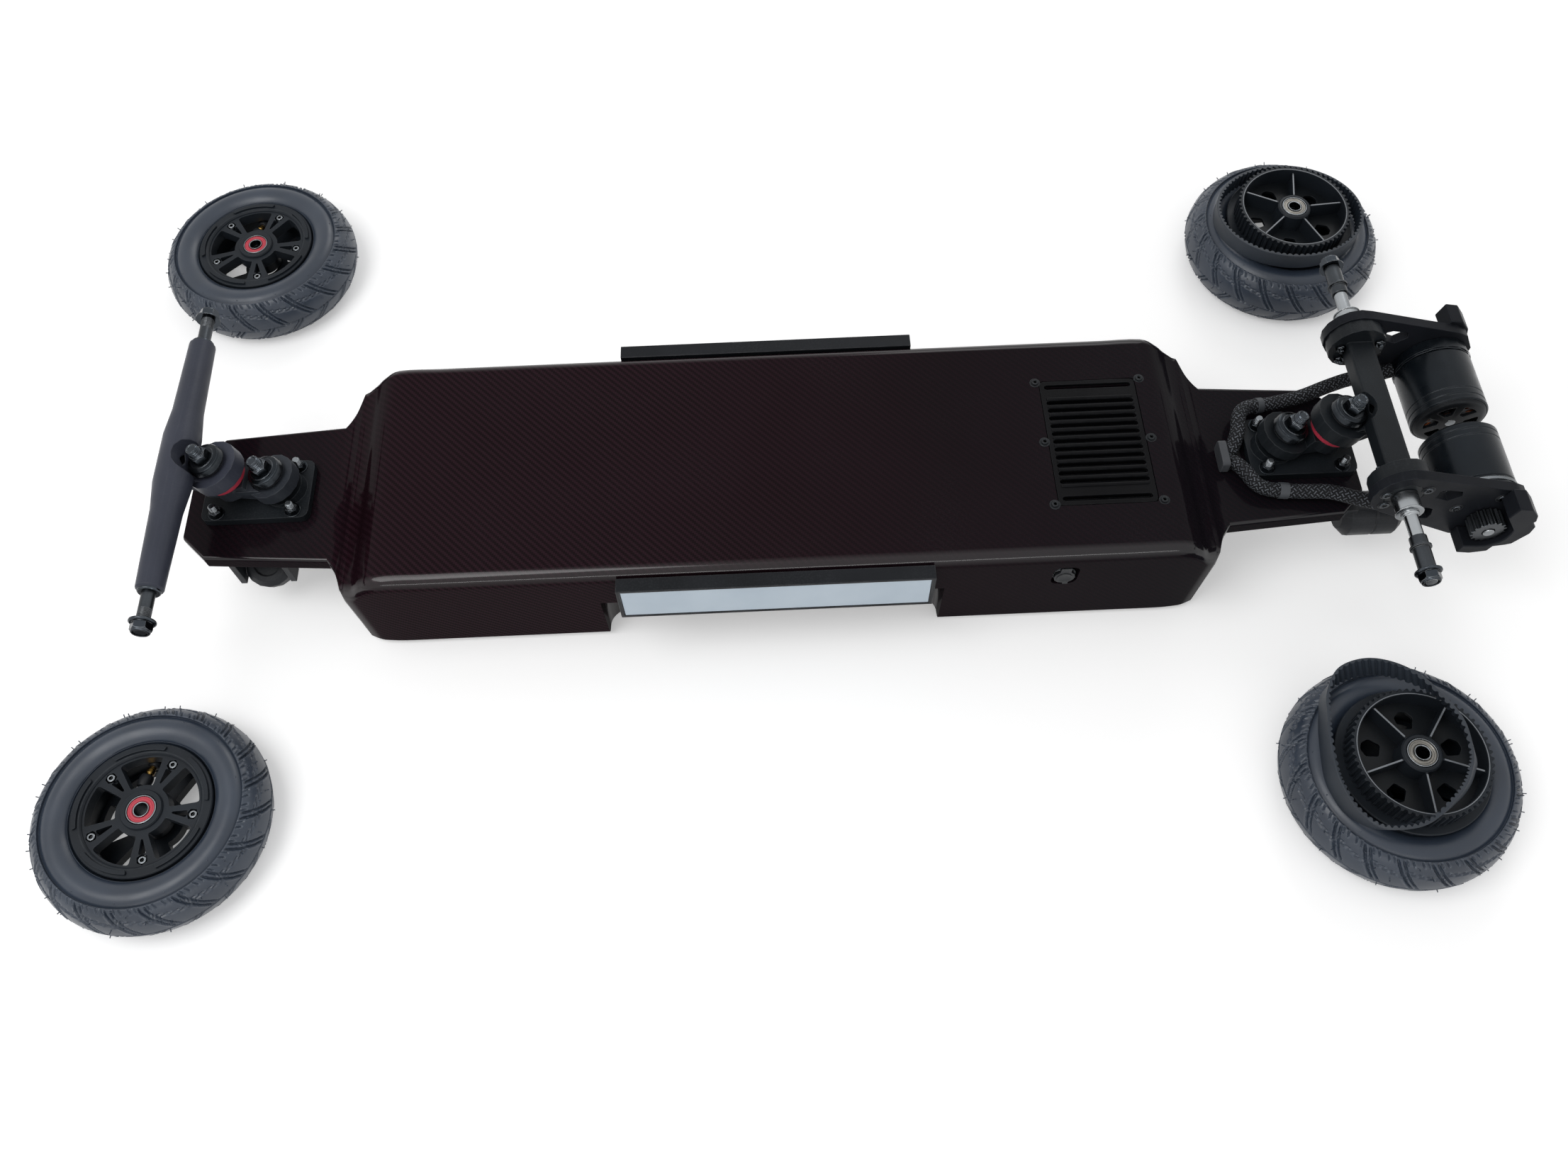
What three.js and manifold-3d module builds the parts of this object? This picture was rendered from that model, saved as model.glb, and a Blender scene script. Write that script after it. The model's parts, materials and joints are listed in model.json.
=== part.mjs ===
// Electric mountainboard lying upside down on its riding face, with its four wheels taken off beside it.
// Millimetres. X runs along the board with the drive end at +X, Y points away from the viewer, Z up.
// The origin is the middle of the riding face, which rests on the floor at z = 0.

import * as THREE from 'three';
import { mergeVertices } from 'three/addons/utils/BufferGeometryUtils.js';
import { ConvexGeometry } from 'three/addons/geometries/ConvexGeometry.js';
import Module from 'manifold-3d';

const wasm = await Module();
wasm.setup();

// Fits shared by all pieces
const fitGap = 0.3;
const overrun = 2;

// Hull and end plates
const hullHeight = 107;
const hullHalfWidth = 104;
const hullFootHalfWidth = 99;
const hullFrontEnd = 310;
const hullRearEnd = 316;
const endFlare = 23;
const neckReach = 40;
const hullEdgeRadius = 8;
const hullRimRadius = 11;
const rimLift = 0.8;
const plateDrop = 27;
const plateTop = hullHeight - plateDrop;
const plateThickness = 14;
const plateEdgeRadius = 3;
const plateTip = 466;
const tipChamfer = 19;
const noseTipHalfWidth = 57;
const noseNeckHalfWidth = 64;
const tailTipHalfWidth = 60;
const tailNeckHalfWidth = 67;
const hullWall = 6;
const hullSideWall = 10;
const hullEndWall = 12;

// Side recesses below the light bars
const recessFront = 138;
const recessRear = 130;
const recessTop = 62;
const recessHalfWidth = 76;
const recessCornerRadius = 9;

// Lid that closes the hull and is the face that is ridden on
const lidThickness = 4.4;
const lidLedge = 5;

// Vent cover
const ventLeft = 218;
const ventLength = 77;
const ventWidth = 118;
const ventCornerRadius = 4;
const ventFlange = 3;
const ventLedge = 3;
const ventBodyDepth = 9;
const slotLength = 70;
const slotWidth = 4.4;
const slotPitch = 7.5;
const slotDepth = 5.2;
const slotCount = 11;
const outerSlotOffset = 53;

// Light bars
const lightFront = 121;
const lightRear = 119;
const lightDepth = 11.7;
const lightSetback = 3;
const lightTop = hullHeight - lightSetback;
const lightHeight = 41;
const lightBackWall = 4;
const lightRim = 2.4;
const lightEndCap = 3;
const diffuserInset = 0.6;

// Charge port
const portX = 222;
const portHeight = 71.5;
const portRecessHalfWidth = 10;
const portRecessTop = 89;
const portRecessDepth = 4.6;
const socketRadius = 6.2;
const socketBoreRadius = 4;
const socketBoreDepth = 9;
const socketLength = 14;
const socketFlangeRadius = 8.4;
const socketFlange = 1.4;
const capRadius = 8.2;
const capThickness = 2.6;
const capStrapHalfWidth = 4;
const capStrapReach = 13;

// Motor controller and battery
const controllerLength = 78;
const controllerWidth = 104;
const controllerHeight = 22;
const controllerFinCount = 9;
const controllerFinDepth = 5;
const controllerFinThickness = 3;
const batteryFront = 286;
const batteryLength = 336;
const batteryWidth = 122;
const batteryHeight = 74;
const batteryCellPitch = 21;
const batteryCellRise = 3;

// Cable gland and motor cables
const glandX = 356.4;
const glandLength = 6.5;
const glandCentreY = -7;
const glandHalfWidth = 12;
const glandHeight = 13;
const cableRadius = 5.8;
const cableSides = 8;
const cableSteps = 24;

// Lamps under the end plates
const noseLampX = -411;
const noseLampY = -44;
const noseLampDrop = 17.5;
const noseLampZ = plateTop - plateThickness - noseLampDrop;
const noseLampRadius = 20;
const noseLampDepth = 15;
const noseLampRing = 4.5;
const noseLampTiltDegrees = 28;
const noseLampArm = 5;
const noseLampLegWidth = 12;
const tailLampStart = 457;
const tailLampLength = 49;
const tailLampY = -41;
const tailLampRadius = 18;
const tailLampFoot = 1.2;
const tailLampFootLength = 9;
const tailLampRounding = 6;
const tailLampSeam = 1;
const tailLampSeamShare = 0.5;

// Truck base
const truckReach = 45.5;
const frontAxleX = 455;
const rearAxleX = 467.5;
const axleHeight = 51.9;
const baseLength = 84;
const baseWidth = 54;
const baseThickness = 7;
const baseCornerRadius = 7;
const baseBossRadius = 17;
const boltSpacingX = 60;
const boltSpacingY = 41;
const boltRadius = 3;

// Kingpins and bushings, measured along the tilted kingpin from the top of the link's eye
const kingpinTiltDegrees = 16;
const kingpinSpacing = 31.9;
const innerPivotSetback = 15.7;
const innerPivotHeight = 26.4;
const kingpinRadius = 5;
const kingpinRoot = 24;
const bushingRadius = 13.6;
const bushingTopRadius = 12;
const lowerBushing = 6.2;
const upperBushing = 8.7;
const cupRadius = 14;
const sleeveWall = 1.2;
const cupThickness = 1.6;
const cupLip = 6.5;
const nutRadius = 8;
const nutHeight = 7;
const kingpinTip = 4;
const linkEyeRadius = 20;
const linkEyeThickness = 10;
const linkBossRadius = 15.5;
const linkBossTop = 8.6;
const linkBossThickness = 10.1;
const linkWebHalfWidth = 12;
const linkSlabHalfWidth = 14;
const linkSlabThickness = 5.8;
const linkSlabReach = 57;
const outerLowerBushing = 7.8;
const hangerEyeRadius = 21.5;
const hangerEyeThickness = 12;
const hangerPocketRadius = 15.5;
const hangerWebHalfWidth = 14;

// Front hanger and axle
const frontHangerHalf = 113;
const frontHangerMidRadius = 14;
const frontHangerEndRadius = 10;
const frontHangerShoulder = 22;
const frontHangerWaist = 46;
const hangerChamfer = 1.5;
const axleRadius = 5;
const frontAxleHalf = 147;
const axleNutSetback = 5;
const axleNutHeight = 8;
const axleNutRadius = 8;
const axleNutFlangeRadius = 9.6;
const axleNutFlange = 2;

// Rear hanger, axle and motor plates
const rearBarWidth = 20.5;
const rearBarHeight = 15.5;
const rearBarHalf = 62;
const rearFlangeRadius = 22;
const rearEndRadius = 14;
const plateInner = 71;
const motorPlateThickness = 8;
const sleeveRadius = 9.5;
const sleeveLength = 14.7;
const rearAxleHalf = 152;
const axleSpacerRadius = 6.3;
const spacerLength = 28;
const spacerRingRadius = 7.7;
const spacerRingSetback = 8;
const spacerRing = 1.5;
const clampRadius = 23.5;
const motorOffsetX = 74;
const motorDrop = 33.9;
const pilotRadius = 9;

// Pinion guards
const guardOuter = 97.5;
const guardReach = 30;
const guardClearance = 1.8;
const guardWallSteps = 6;
const guardWallDegrees = 120;

// Motors and pinions
const motorRadius = 29;
const canInnerEnd = 8;
const bellThickness = 4;
const bellRadius = 26.5;
const canOuterEnd = 60;
const canWall = 3.6;
const bellWindowCount = 6;
const bellWindowInner = 10;
const bellWindowOuter = 22;
const bellWindowDegrees = 34;
const stator = { radius: 23.5, boreRadius: 6.5, innerEnd: 15, flangeRadius: 29.4 };
const shaftRadius = 4.5;
const pinionToothCount = 16;
const pinionRootRadius = 11.2;
const pinionTipRadius = 13;
const pinionLength = 14;
const pinionToothShares = [[-0.3, 0], [-0.12, 1], [0.12, 1], [0.3, 0]];

// Wheels, with z measured up from the floor that they lie on
const tyreRadius = 87.5;
const tyreWidth = 50;
const rimRadius = 52;
const rimWall = 7;
const rimLow = 3.4;
const hubBossRadius = 16;
const bearingRadius = 11;
const bearingBoreRadius = 5;
const bearingWidth = 7;
const bearingShoulder = 2.2;
const spacerRadius = 7.4;
const frontBossLow = 22;
const frontFaceHigh = 46.8;
const spokePlateThickness = 11;
const spokeRecess = 2.4;
const spokeCount = 5;
const windowInnerRadius = 19;
const windowOuterRadius = 41;
const windowSpanDegrees = 44;
const splitInnerRadius = 21;
const splitOuterRadius = 32;
const splitHalfWidth = 1.9;
const rearBearingLow = 20;
const pulleyTop = 70.4;
const pulleyLow = 53;
const pulleyTipRadius = 50;
const pulleyRootRadius = 48;
const pulleyInnerRadius = 45;
const pulleyToothCount = 60;
const pulleyToothShares = [[0, 1], [0.5, 0]];
const pulleyFlangeRadius = 56;
const pulleyFlange = 2;
const pulleyFloor = 55;
const pulleyFloorThickness = 3;
const pulleyRibTop = 67.5;
const pulleyRibThickness = 2.6;
const pulleyWindowRadius = 31;
const pulleyWindowSize = 7.5;

// Loose drive belts
const beltWidth = 15;
const beltThickness = 3;
const farBeltHalfX = 66;
const farBeltHalfY = 56.4;
const farBeltOffsetX = -4;
const farBeltOffsetY = -2.4;
const farBeltRest = 53.2;
const bentBeltSteps = 36;

// Where each wheel lies and how far it is turned
const wheelPlaces = {
  front_near: { x: -473.3, y: -248.1, turnDegrees: -7 },
  front_far: { x: -473.6, y: 303.1, turnDegrees: -8 },
  rear_near: { x: 457.8, y: -257.1, turnDegrees: -20 },
  rear_far: { x: 487.6, y: 273.2, turnDegrees: 6 },
};

// Fineness of round shapes
const fineSegments = 28;
const roundSegments = 16;
const smallSegments = 12;
const boltSegments = 8;
const hexSegments = 6;
const cornerSteps = 3;
const arcSteps = 2;
const beltSteps = 18;

const degrees = (value) => THREE.MathUtils.degToRad(value);

// Finishes
const finish = (color, roughness, metalness) =>
  () => new THREE.MeshStandardMaterial({ color, roughness, metalness });
const carbon = finish(0x2a1216, 0.3, 0.1);
const gripPaper = finish(0x161617, 0.95, 0);
const blackPlastic = finish(0x1a1b1d, 0.55, 0);
const blackMetal = finish(0x1b1c1f, 0.4, 0.8);
const darkSteel = finish(0x4b4d50, 0.35, 1);
const brightSteel = finish(0xc9cbcc, 0.2, 1);
const tyreRubber = finish(0x25282d, 0.85, 0);
const blackUrethane = finish(0x1d1d1f, 0.6, 0);
const redUrethane = finish(0xb3202c, 0.5, 0);
const milkyPlastic = finish(0xf2f4f5, 0.35, 0);
const braid = finish(0x17181a, 0.8, 0);
const shrinkWrap = finish(0x24507a, 0.5, 0);

// Booleans

function toSolid(geometry) {
  const bare = geometry.clone();
  bare.deleteAttribute('normal');
  bare.deleteAttribute('uv');
  const welded = mergeVertices(bare);
  const triangles = [];
  for (let i = 0; i < welded.index.count; i += 3) {
    const [a, b, c] = [0, 1, 2].map((corner) => welded.index.getX(i + corner));
    if (a !== b && b !== c && c !== a) {
      triangles.push(a, b, c);
    }
  }
  const mesh = new wasm.Mesh({
    numProp: 3,
    vertProperties: new Float32Array(welded.attributes.position.array),
    triVerts: new Uint32Array(triangles),
  });
  return new wasm.Manifold(mesh);
}

function toGeometry(solid) {
  const mesh = solid.getMesh();
  const geometry = new THREE.BufferGeometry();
  geometry.setAttribute('position', new THREE.BufferAttribute(mesh.vertProperties, 3));
  geometry.setIndex(new THREE.BufferAttribute(mesh.triVerts, 1));
  geometry.computeVertexNormals();
  return geometry;
}

function unite(...pieces) {
  return toGeometry(pieces.map(toSolid).reduce((whole, piece) => whole.add(piece)));
}

function cut(body, ...tools) {
  return toGeometry(tools.map(toSolid).reduce((whole, tool) => whole.subtract(tool), toSolid(body)));
}

function common(first, second) {
  return toGeometry(toSolid(first).intersect(toSolid(second)));
}

// Basic forms

function rod(radius, low, high, segments = roundSegments) {
  const geometry = new THREE.CylinderGeometry(radius, radius, high - low, segments);
  return geometry.rotateX(Math.PI / 2).translate(0, 0, (low + high) / 2);
}

function block(lowX, highX, lowY, highY, lowZ, highZ) {
  const geometry = new THREE.BoxGeometry(highX - lowX, highY - lowY, highZ - lowZ);
  return geometry.translate((lowX + highX) / 2, (lowY + highY) / 2, (lowZ + highZ) / 2);
}

// Turns a closed profile of [radius, height] points round the Z axis
function revolve(profile, segments = roundSegments) {
  const area = profile.reduce((sum, [r, z], i) => {
    const [nextR, nextZ] = profile[(i + 1) % profile.length];
    return sum + r * nextZ - nextR * z;
  }, 0);
  const ordered = area > 0 ? [...profile] : [...profile].reverse();
  const points = [...ordered, ordered[0]].map(([r, z]) => new THREE.Vector2(r, z));
  return new THREE.LatheGeometry(points, segments).rotateX(Math.PI / 2);
}

function prism(shape, low, high, curveSegments = cornerSteps) {
  const depth = high - low;
  const geometry = new THREE.ExtrudeGeometry(shape, { depth, bevelEnabled: false, curveSegments });
  return geometry.translate(0, 0, low);
}

function polygon(points) {
  return new THREE.Shape(points.map(([x, y]) => new THREE.Vector2(x, y)));
}

function roundedRectangle(lowX, highX, lowY, highY, radius) {
  const shape = new THREE.Shape();
  shape.moveTo(lowX + radius, lowY);
  shape.lineTo(highX - radius, lowY);
  shape.quadraticCurveTo(highX, lowY, highX, lowY + radius);
  shape.lineTo(highX, highY - radius);
  shape.quadraticCurveTo(highX, highY, highX - radius, highY);
  shape.lineTo(lowX + radius, highY);
  shape.quadraticCurveTo(lowX, highY, lowX, highY - radius);
  shape.lineTo(lowX, lowY + radius);
  shape.quadraticCurveTo(lowX, lowY, lowX + radius, lowY);
  return shape;
}

// A slot along X with round ends
function slotShape(centreX, centreY, length, width) {
  const radius = width / 2;
  const reach = length / 2 - radius;
  const shape = new THREE.Shape();
  shape.absarc(centreX + reach, centreY, radius, -Math.PI / 2, Math.PI / 2, false);
  shape.absarc(centreX - reach, centreY, radius, Math.PI / 2, 3 * Math.PI / 2, false);
  return shape;
}

// A gear outline whose teeth each have the corners given, as shares of a tooth's pitch and of its height
function toothedOutline(toothCount, rootRadius, tipRadius, toothShares) {
  const points = [];
  for (let tooth = 0; tooth < toothCount; tooth += 1) {
    toothShares.forEach(([along, up]) => {
      const angle = (tooth + along) * 2 * Math.PI / toothCount;
      const radius = rootRadius + (tipRadius - rootRadius) * up;
      points.push([radius * Math.cos(angle), radius * Math.sin(angle)]);
    });
  }
  return polygon(points);
}

// Turns a form that stands along Z so that it lies along Y or X
const alongY = (geometry) => geometry.rotateX(-Math.PI / 2);
const alongX = (geometry) => geometry.rotateY(Math.PI / 2);
// Lays a shape drawn in X and Z into that plane, and extrudes it along Y
const across = (shape, lowY, highY, curveSegments) =>
  prism(shape, -highY, -lowY, curveSegments).rotateX(Math.PI / 2);
const mirroredY = (side, low, high) => (side < 0 ? [-high, -low] : [low, high]);
const towardsSide = (geometry, side) => (side < 0 ? geometry.rotateZ(Math.PI) : geometry);
const sideSign = { near: -1, far: 1 };

function piece(name, geometry, material) {
  const mesh = new THREE.Mesh(geometry, material());
  mesh.name = name;
  return mesh;
}

// Hull

// One cross-section of the hull: a closed ring of points in the plane at x
function hullRing(x, halfTop, halfFoot, low, high, topRadius, footRadius) {
  const corners = [
    [halfFoot - footRadius, low + footRadius, footRadius, -Math.PI / 2],
    [halfTop - topRadius, high - topRadius, topRadius, 0],
    [topRadius - halfTop, high - topRadius, topRadius, Math.PI / 2],
    [footRadius - halfFoot, low + footRadius, footRadius, Math.PI],
  ];
  return corners.flatMap(([y, z, radius, start]) => {
    const ring = [];
    for (let step = 0; step <= cornerSteps; step += 1) {
      const angle = start + (step / cornerSteps) * Math.PI / 2;
      ring.push(new THREE.Vector3(x, y + radius * Math.cos(angle), z + radius * Math.sin(angle)));
    }
    return ring;
  });
}

// Joins rings of equal size into one closed body
function loft(rings) {
  const count = rings[0].length;
  const positions = rings.flat().flatMap((point) => [point.x, point.y, point.z]);
  const index = [];
  for (let ring = 0; ring + 1 < rings.length; ring += 1) {
    for (let i = 0; i < count; i += 1) {
      const a = ring * count + i;
      const b = ring * count + (i + 1) % count;
      index.push(a, b, a + count, b, b + count, a + count);
    }
  }
  const last = (rings.length - 1) * count;
  for (let i = 1; i + 1 < count; i += 1) {
    index.push(0, i + 1, i, last, last + i, last + i + 1);
  }
  const geometry = new THREE.BufferGeometry();
  geometry.setAttribute('position', new THREE.Float32BufferAttribute(positions, 3));
  geometry.setIndex(index);
  return geometry;
}

// Joins rings of equal size into a loop that closes on itself
function closedLoft(rings) {
  const count = rings[0].length;
  const total = rings.length * count;
  const index = rings.flatMap((_, ring) => Array.from({ length: count }, (__, i) => {
    const a = ring * count + i;
    const b = ring * count + (i + 1) % count;
    return [a, b, (a + count) % total, b, (b + count) % total, (a + count) % total];
  })).flat();
  const positions = rings.flat().flatMap((point) => [point.x, point.y, point.z]);
  const geometry = new THREE.BufferGeometry();
  geometry.setAttribute('position', new THREE.Float32BufferAttribute(positions, 3));
  geometry.setIndex(index);
  return geometry;
}

// Rings from the hull's full section out to the tip of one end plate
function hullEndRings(side, hullEnd, tipHalfWidth, neckHalfWidth) {
  const plateLow = plateTop - plateThickness;
  const foot = hullEnd + endFlare;
  const neck = hullEnd + neckReach;
  const rise = hullHeight - plateTop;
  const flareShares = [
    { along: 0.25, height: 0.72, width: 0.98 },
    { along: 0.6, height: 0.45, width: 0.95 },
    { along: 0.97, height: 0.27, width: 0.86 },
  ];
  const shoulderShares = [
    { along: 0.12, height: 0.24, width: 0.72, low: 0.93 },
    { along: 0.45, height: 0.1, width: 0.36, low: 1 },
    { along: 0.75, height: 0.03, width: 0.14, low: 1 },
  ];
  const halfAt = (share) => neckHalfWidth + (hullHalfWidth - neckHalfWidth) * share;
  const rings = [hullRing(side * (hullEnd - hullEdgeRadius), hullHalfWidth, hullFootHalfWidth,
    rimLift, hullHeight, hullEdgeRadius, hullRimRadius)];
  flareShares.forEach(({ along, height, width }) => {
    const half = halfAt(width);
    rings.push(hullRing(side * (hullEnd + endFlare * along), half,
      half - hullHalfWidth + hullFootHalfWidth, rimLift, plateTop + rise * height,
      hullEdgeRadius, hullRimRadius));
  });
  shoulderShares.forEach(({ along, height, width, low }) => {
    const half = halfAt(width);
    rings.push(hullRing(side * (foot + (neck - foot) * along), half, half, plateLow * low,
      plateTop + rise * height, plateEdgeRadius, plateEdgeRadius));
  });
  rings.push(hullRing(side * neck, neckHalfWidth, neckHalfWidth, plateLow, plateTop,
    plateEdgeRadius, plateEdgeRadius));
  rings.push(hullRing(side * (plateTip - tipChamfer), tipHalfWidth, tipHalfWidth, plateLow, plateTop,
    plateEdgeRadius, plateEdgeRadius));
  rings.push(hullRing(side * plateTip, tipHalfWidth - tipChamfer, tipHalfWidth - tipChamfer, plateLow,
    plateTop, plateEdgeRadius, plateEdgeRadius));
  return rings;
}

// The outline of the hull's inside, narrowed between the side recesses
function insideOutline(inset) {
  const front = -hullFrontEnd + hullEndWall + inset;
  const rear = hullRearEnd - hullEndWall - inset;
  const wide = hullFootHalfWidth - hullSideWall - inset;
  const narrow = recessHalfWidth - hullWall - inset;
  const waistFront = -recessFront - hullWall - inset;
  const waistRear = recessRear + hullWall + inset;
  return polygon([
    [front, -wide], [waistFront, -wide], [waistFront, -narrow], [waistRear, -narrow],
    [waistRear, -wide], [rear, -wide], [rear, wide], [waistRear, wide],
    [waistRear, narrow], [waistFront, narrow], [waistFront, wide], [front, wide],
  ]);
}

const ledgeHeight = lidThickness + fitGap;
const hullInsideTop = hullHeight - hullWall;
const ventCentreX = ventLeft + ventLength / 2;
const wallAt = (z) => hullFootHalfWidth + (hullHalfWidth - hullFootHalfWidth) * (z / hullHeight);

function ventOutline(inset) {
  const halfWidth = ventWidth / 2 - inset;
  const right = ventLeft + ventLength - inset;
  return roundedRectangle(ventLeft + inset, right, -halfWidth, halfWidth, ventCornerRadius);
}

// Side view of a recess below a light bar, open towards the floor
function recessOutline() {
  const shape = new THREE.Shape();
  shape.moveTo(-recessFront, -overrun);
  shape.lineTo(recessRear, -overrun);
  shape.lineTo(recessRear, recessTop - recessCornerRadius);
  shape.lineTo(recessRear - recessCornerRadius, recessTop);
  shape.lineTo(recessCornerRadius - recessFront, recessTop);
  shape.lineTo(-recessFront, recessTop - recessCornerRadius);
  return shape;
}

// The D-shaped recess of the charge port, flat at the top
function portOutline(inset) {
  const radius = portRecessHalfWidth - inset;
  const shape = new THREE.Shape();
  shape.moveTo(portX + radius, portRecessTop - inset);
  shape.lineTo(portX - radius, portRecessTop - inset);
  shape.absarc(portX, portHeight - portRecessHalfWidth / 2, radius, Math.PI, 2 * Math.PI, false);
  return shape;
}

const portFloor = wallAt(portHeight) - portRecessDepth;

function deckShell() {
  const front = hullEndRings(-1, hullFrontEnd, noseTipHalfWidth, noseNeckHalfWidth).reverse();
  const rear = hullEndRings(1, hullRearEnd, tailTipHalfWidth, tailNeckHalfWidth);
  const outside = loft([...front, ...rear]);
  const inside = prism(insideOutline(lidLedge), 0, hullInsideTop);
  const lidSeat = prism(insideOutline(0), -overrun, ledgeHeight);
  const ventSeat = prism(ventOutline(0), hullHeight - ventFlange, hullHeight + overrun);
  const ventHole = prism(ventOutline(ventLedge), hullInsideTop - overrun, hullHeight);
  const recesses = [-1, 1].map((side) =>
    across(recessOutline(), ...mirroredY(side, recessHalfWidth, hullHalfWidth + overrun), cornerSteps));
  const portRecess = across(portOutline(0), -hullHalfWidth - overrun, -portFloor, smallSegments);
  const portHole = alongY(rod(socketRadius + fitGap, -portFloor - overrun, 0, smallSegments))
    .translate(portX, 0, portHeight);
  return cut(outside, inside, lidSeat, ventSeat, ventHole, ...recesses, portRecess, portHole);
}

function ventCover() {
  const flange = prism(ventOutline(fitGap), hullHeight - ventFlange + fitGap, hullHeight);
  const bodyTop = hullHeight - ventFlange + overrun;
  const body = prism(ventOutline(ventLedge + fitGap), hullHeight - ventBodyDepth, bodyTop);
  const half = (slotCount - 1) / 2;
  const offsets = Array.from({ length: slotCount }, (_, i) => (i - half) * slotPitch);
  const slots = [-outerSlotOffset, ...offsets, outerSlotOffset].map((offset) => {
    const shape = slotShape(ventCentreX, offset, slotLength, slotWidth);
    return prism(shape, hullHeight - slotDepth, hullHeight + overrun, arcSteps);
  });
  return cut(unite(flange, body), ...slots);
}

function batteryPack() {
  const low = lidThickness + fitGap;
  const half = batteryWidth / 2;
  const front = -batteryFront;
  const rowCount = Math.floor(batteryLength / batteryCellPitch);
  const shape = new THREE.Shape();
  shape.moveTo(front, low);
  shape.lineTo(front + rowCount * batteryCellPitch, low);
  for (let row = rowCount; row > 0; row -= 1) {
    const right = front + row * batteryCellPitch;
    const top = low + batteryHeight - batteryCellRise;
    shape.lineTo(right, top);
    const left = right - batteryCellPitch;
    shape.quadraticCurveTo((left + right) / 2, top + 2 * batteryCellRise, left, top);
  }
  return across(shape, -half, half, cornerSteps);
}

function motorController() {
  const top = hullHeight - ventBodyDepth - fitGap;
  const low = top - controllerHeight;
  const halfLength = controllerLength / 2;
  const halfWidth = controllerWidth / 2;
  const body = block(ventCentreX - halfLength, ventCentreX + halfLength, -halfWidth, halfWidth, low, top);
  const pitch = controllerWidth / controllerFinCount;
  const grooves = Array.from({ length: controllerFinCount }, (_, i) => {
    const start = -halfWidth + i * pitch + controllerFinThickness / 2;
    return block(ventCentreX - halfLength - overrun, ventCentreX + halfLength + overrun,
      start, start + pitch - controllerFinThickness, low - overrun, low + controllerFinDepth);
  });
  return cut(body, ...grooves);
}

// Light bars

const lightBack = hullHalfWidth + fitGap;
const lightFace = lightBack + lightDepth;
const lightLow = lightTop - lightHeight;

function lightFrame(side) {
  const body = block(-lightFront, lightRear, ...mirroredY(side, lightBack, lightFace), lightLow, lightTop);
  const [low, high] = [lightLow + lightRim, lightTop - lightRim];
  const channel = block(-lightFront + lightEndCap, lightRear - lightEndCap,
    ...mirroredY(side, lightBack + lightBackWall, lightFace + overrun), low, high);
  return cut(body, channel);
}

function lightDiffuser(side) {
  const low = lightLow + lightRim + fitGap;
  const high = lightTop - lightRim - fitGap;
  return block(-lightFront + lightEndCap + fitGap, lightRear - lightEndCap - fitGap,
    ...mirroredY(side, lightBack + lightBackWall + fitGap, lightFace - diffuserInset), low, high);
}

// Charge port, built outwards from the floor of its recess

function chargeSocket() {
  const flangeEnd = portFloor + fitGap + socketFlange;
  const profile = [
    [socketBoreRadius, flangeEnd], [socketBoreRadius, flangeEnd - socketBoreDepth],
    [0, flangeEnd - socketBoreDepth], [0, flangeEnd - socketLength],
    [socketRadius, flangeEnd - socketLength], [socketRadius, portFloor + fitGap],
    [socketFlangeRadius, portFloor + fitGap], [socketFlangeRadius, flangeEnd],
  ];
  return revolve(profile, smallSegments).rotateX(Math.PI / 2).translate(portX, 0, portHeight);
}

function chargeCap() {
  const low = portFloor + 2 * fitGap + socketFlange;
  const disc = alongY(rod(capRadius, -low - capThickness, -low, smallSegments))
    .translate(portX, 0, portHeight);
  const strap = block(portX - capStrapHalfWidth, portX + capStrapHalfWidth, -low - capThickness, -low,
    portHeight, portHeight + capStrapReach);
  const pullTab = block(portX, portX + capStrapHalfWidth, -low - capThickness, -low,
    portHeight - capRadius - overrun, portHeight);
  return unite(disc, strap, pullTab);
}

// Cable gland and motor cables

function cableGland() {
  const shape = roundedRectangle(glandCentreY - glandHalfWidth, glandCentreY + glandHalfWidth,
    plateTop + fitGap, plateTop + fitGap + glandHeight, plateEdgeRadius);
  return prism(shape, 0, glandLength).rotateY(Math.PI / 2).rotateX(Math.PI / 2).translate(glandX, 0, 0);
}

// Routes of the motor cables from the gland to the motors, with heights above the end plate
const cableStart = glandX + glandLength + fitGap;
const cableRoutes = {
  near: [
    [cableStart, -13, 6.6], [367.5, -13, 6.6], [372.5, -22, 9.5], [383.5, -39, 9], [410, -43.5, 7],
    [434, -46, 7.5], [456, -56, 8], [476, -61, 6], [496, -63, 8], [511, -65, 14.5],
  ],
  far: [
    [cableStart, -1, 6.6], [367.5, -1, 6.6], [374.5, 13, 11], [378, 27, 12], [386, 36, 11], [405, 39, 9],
    [430, 41, 8], [456, 50, 8], [476, 59, 6], [496, 63, 8], [511, 65, 14.5],
  ],
};

function motorCable(route) {
  const path = new THREE.CatmullRomCurve3(route.map(([x, y, z]) => new THREE.Vector3(x, y, plateTop + z)));
  const section = new THREE.Shape();
  for (let i = 0; i < cableSides; i += 1) {
    const angle = (i / cableSides) * 2 * Math.PI;
    const [x, y] = [cableRadius * Math.cos(angle), cableRadius * Math.sin(angle)];
    if (i === 0) {
      section.moveTo(x, y);
    } else {
      section.lineTo(x, y);
    }
  }
  return new THREE.ExtrudeGeometry(section, { steps: cableSteps, extrudePath: path });
}

// Lamps

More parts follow.
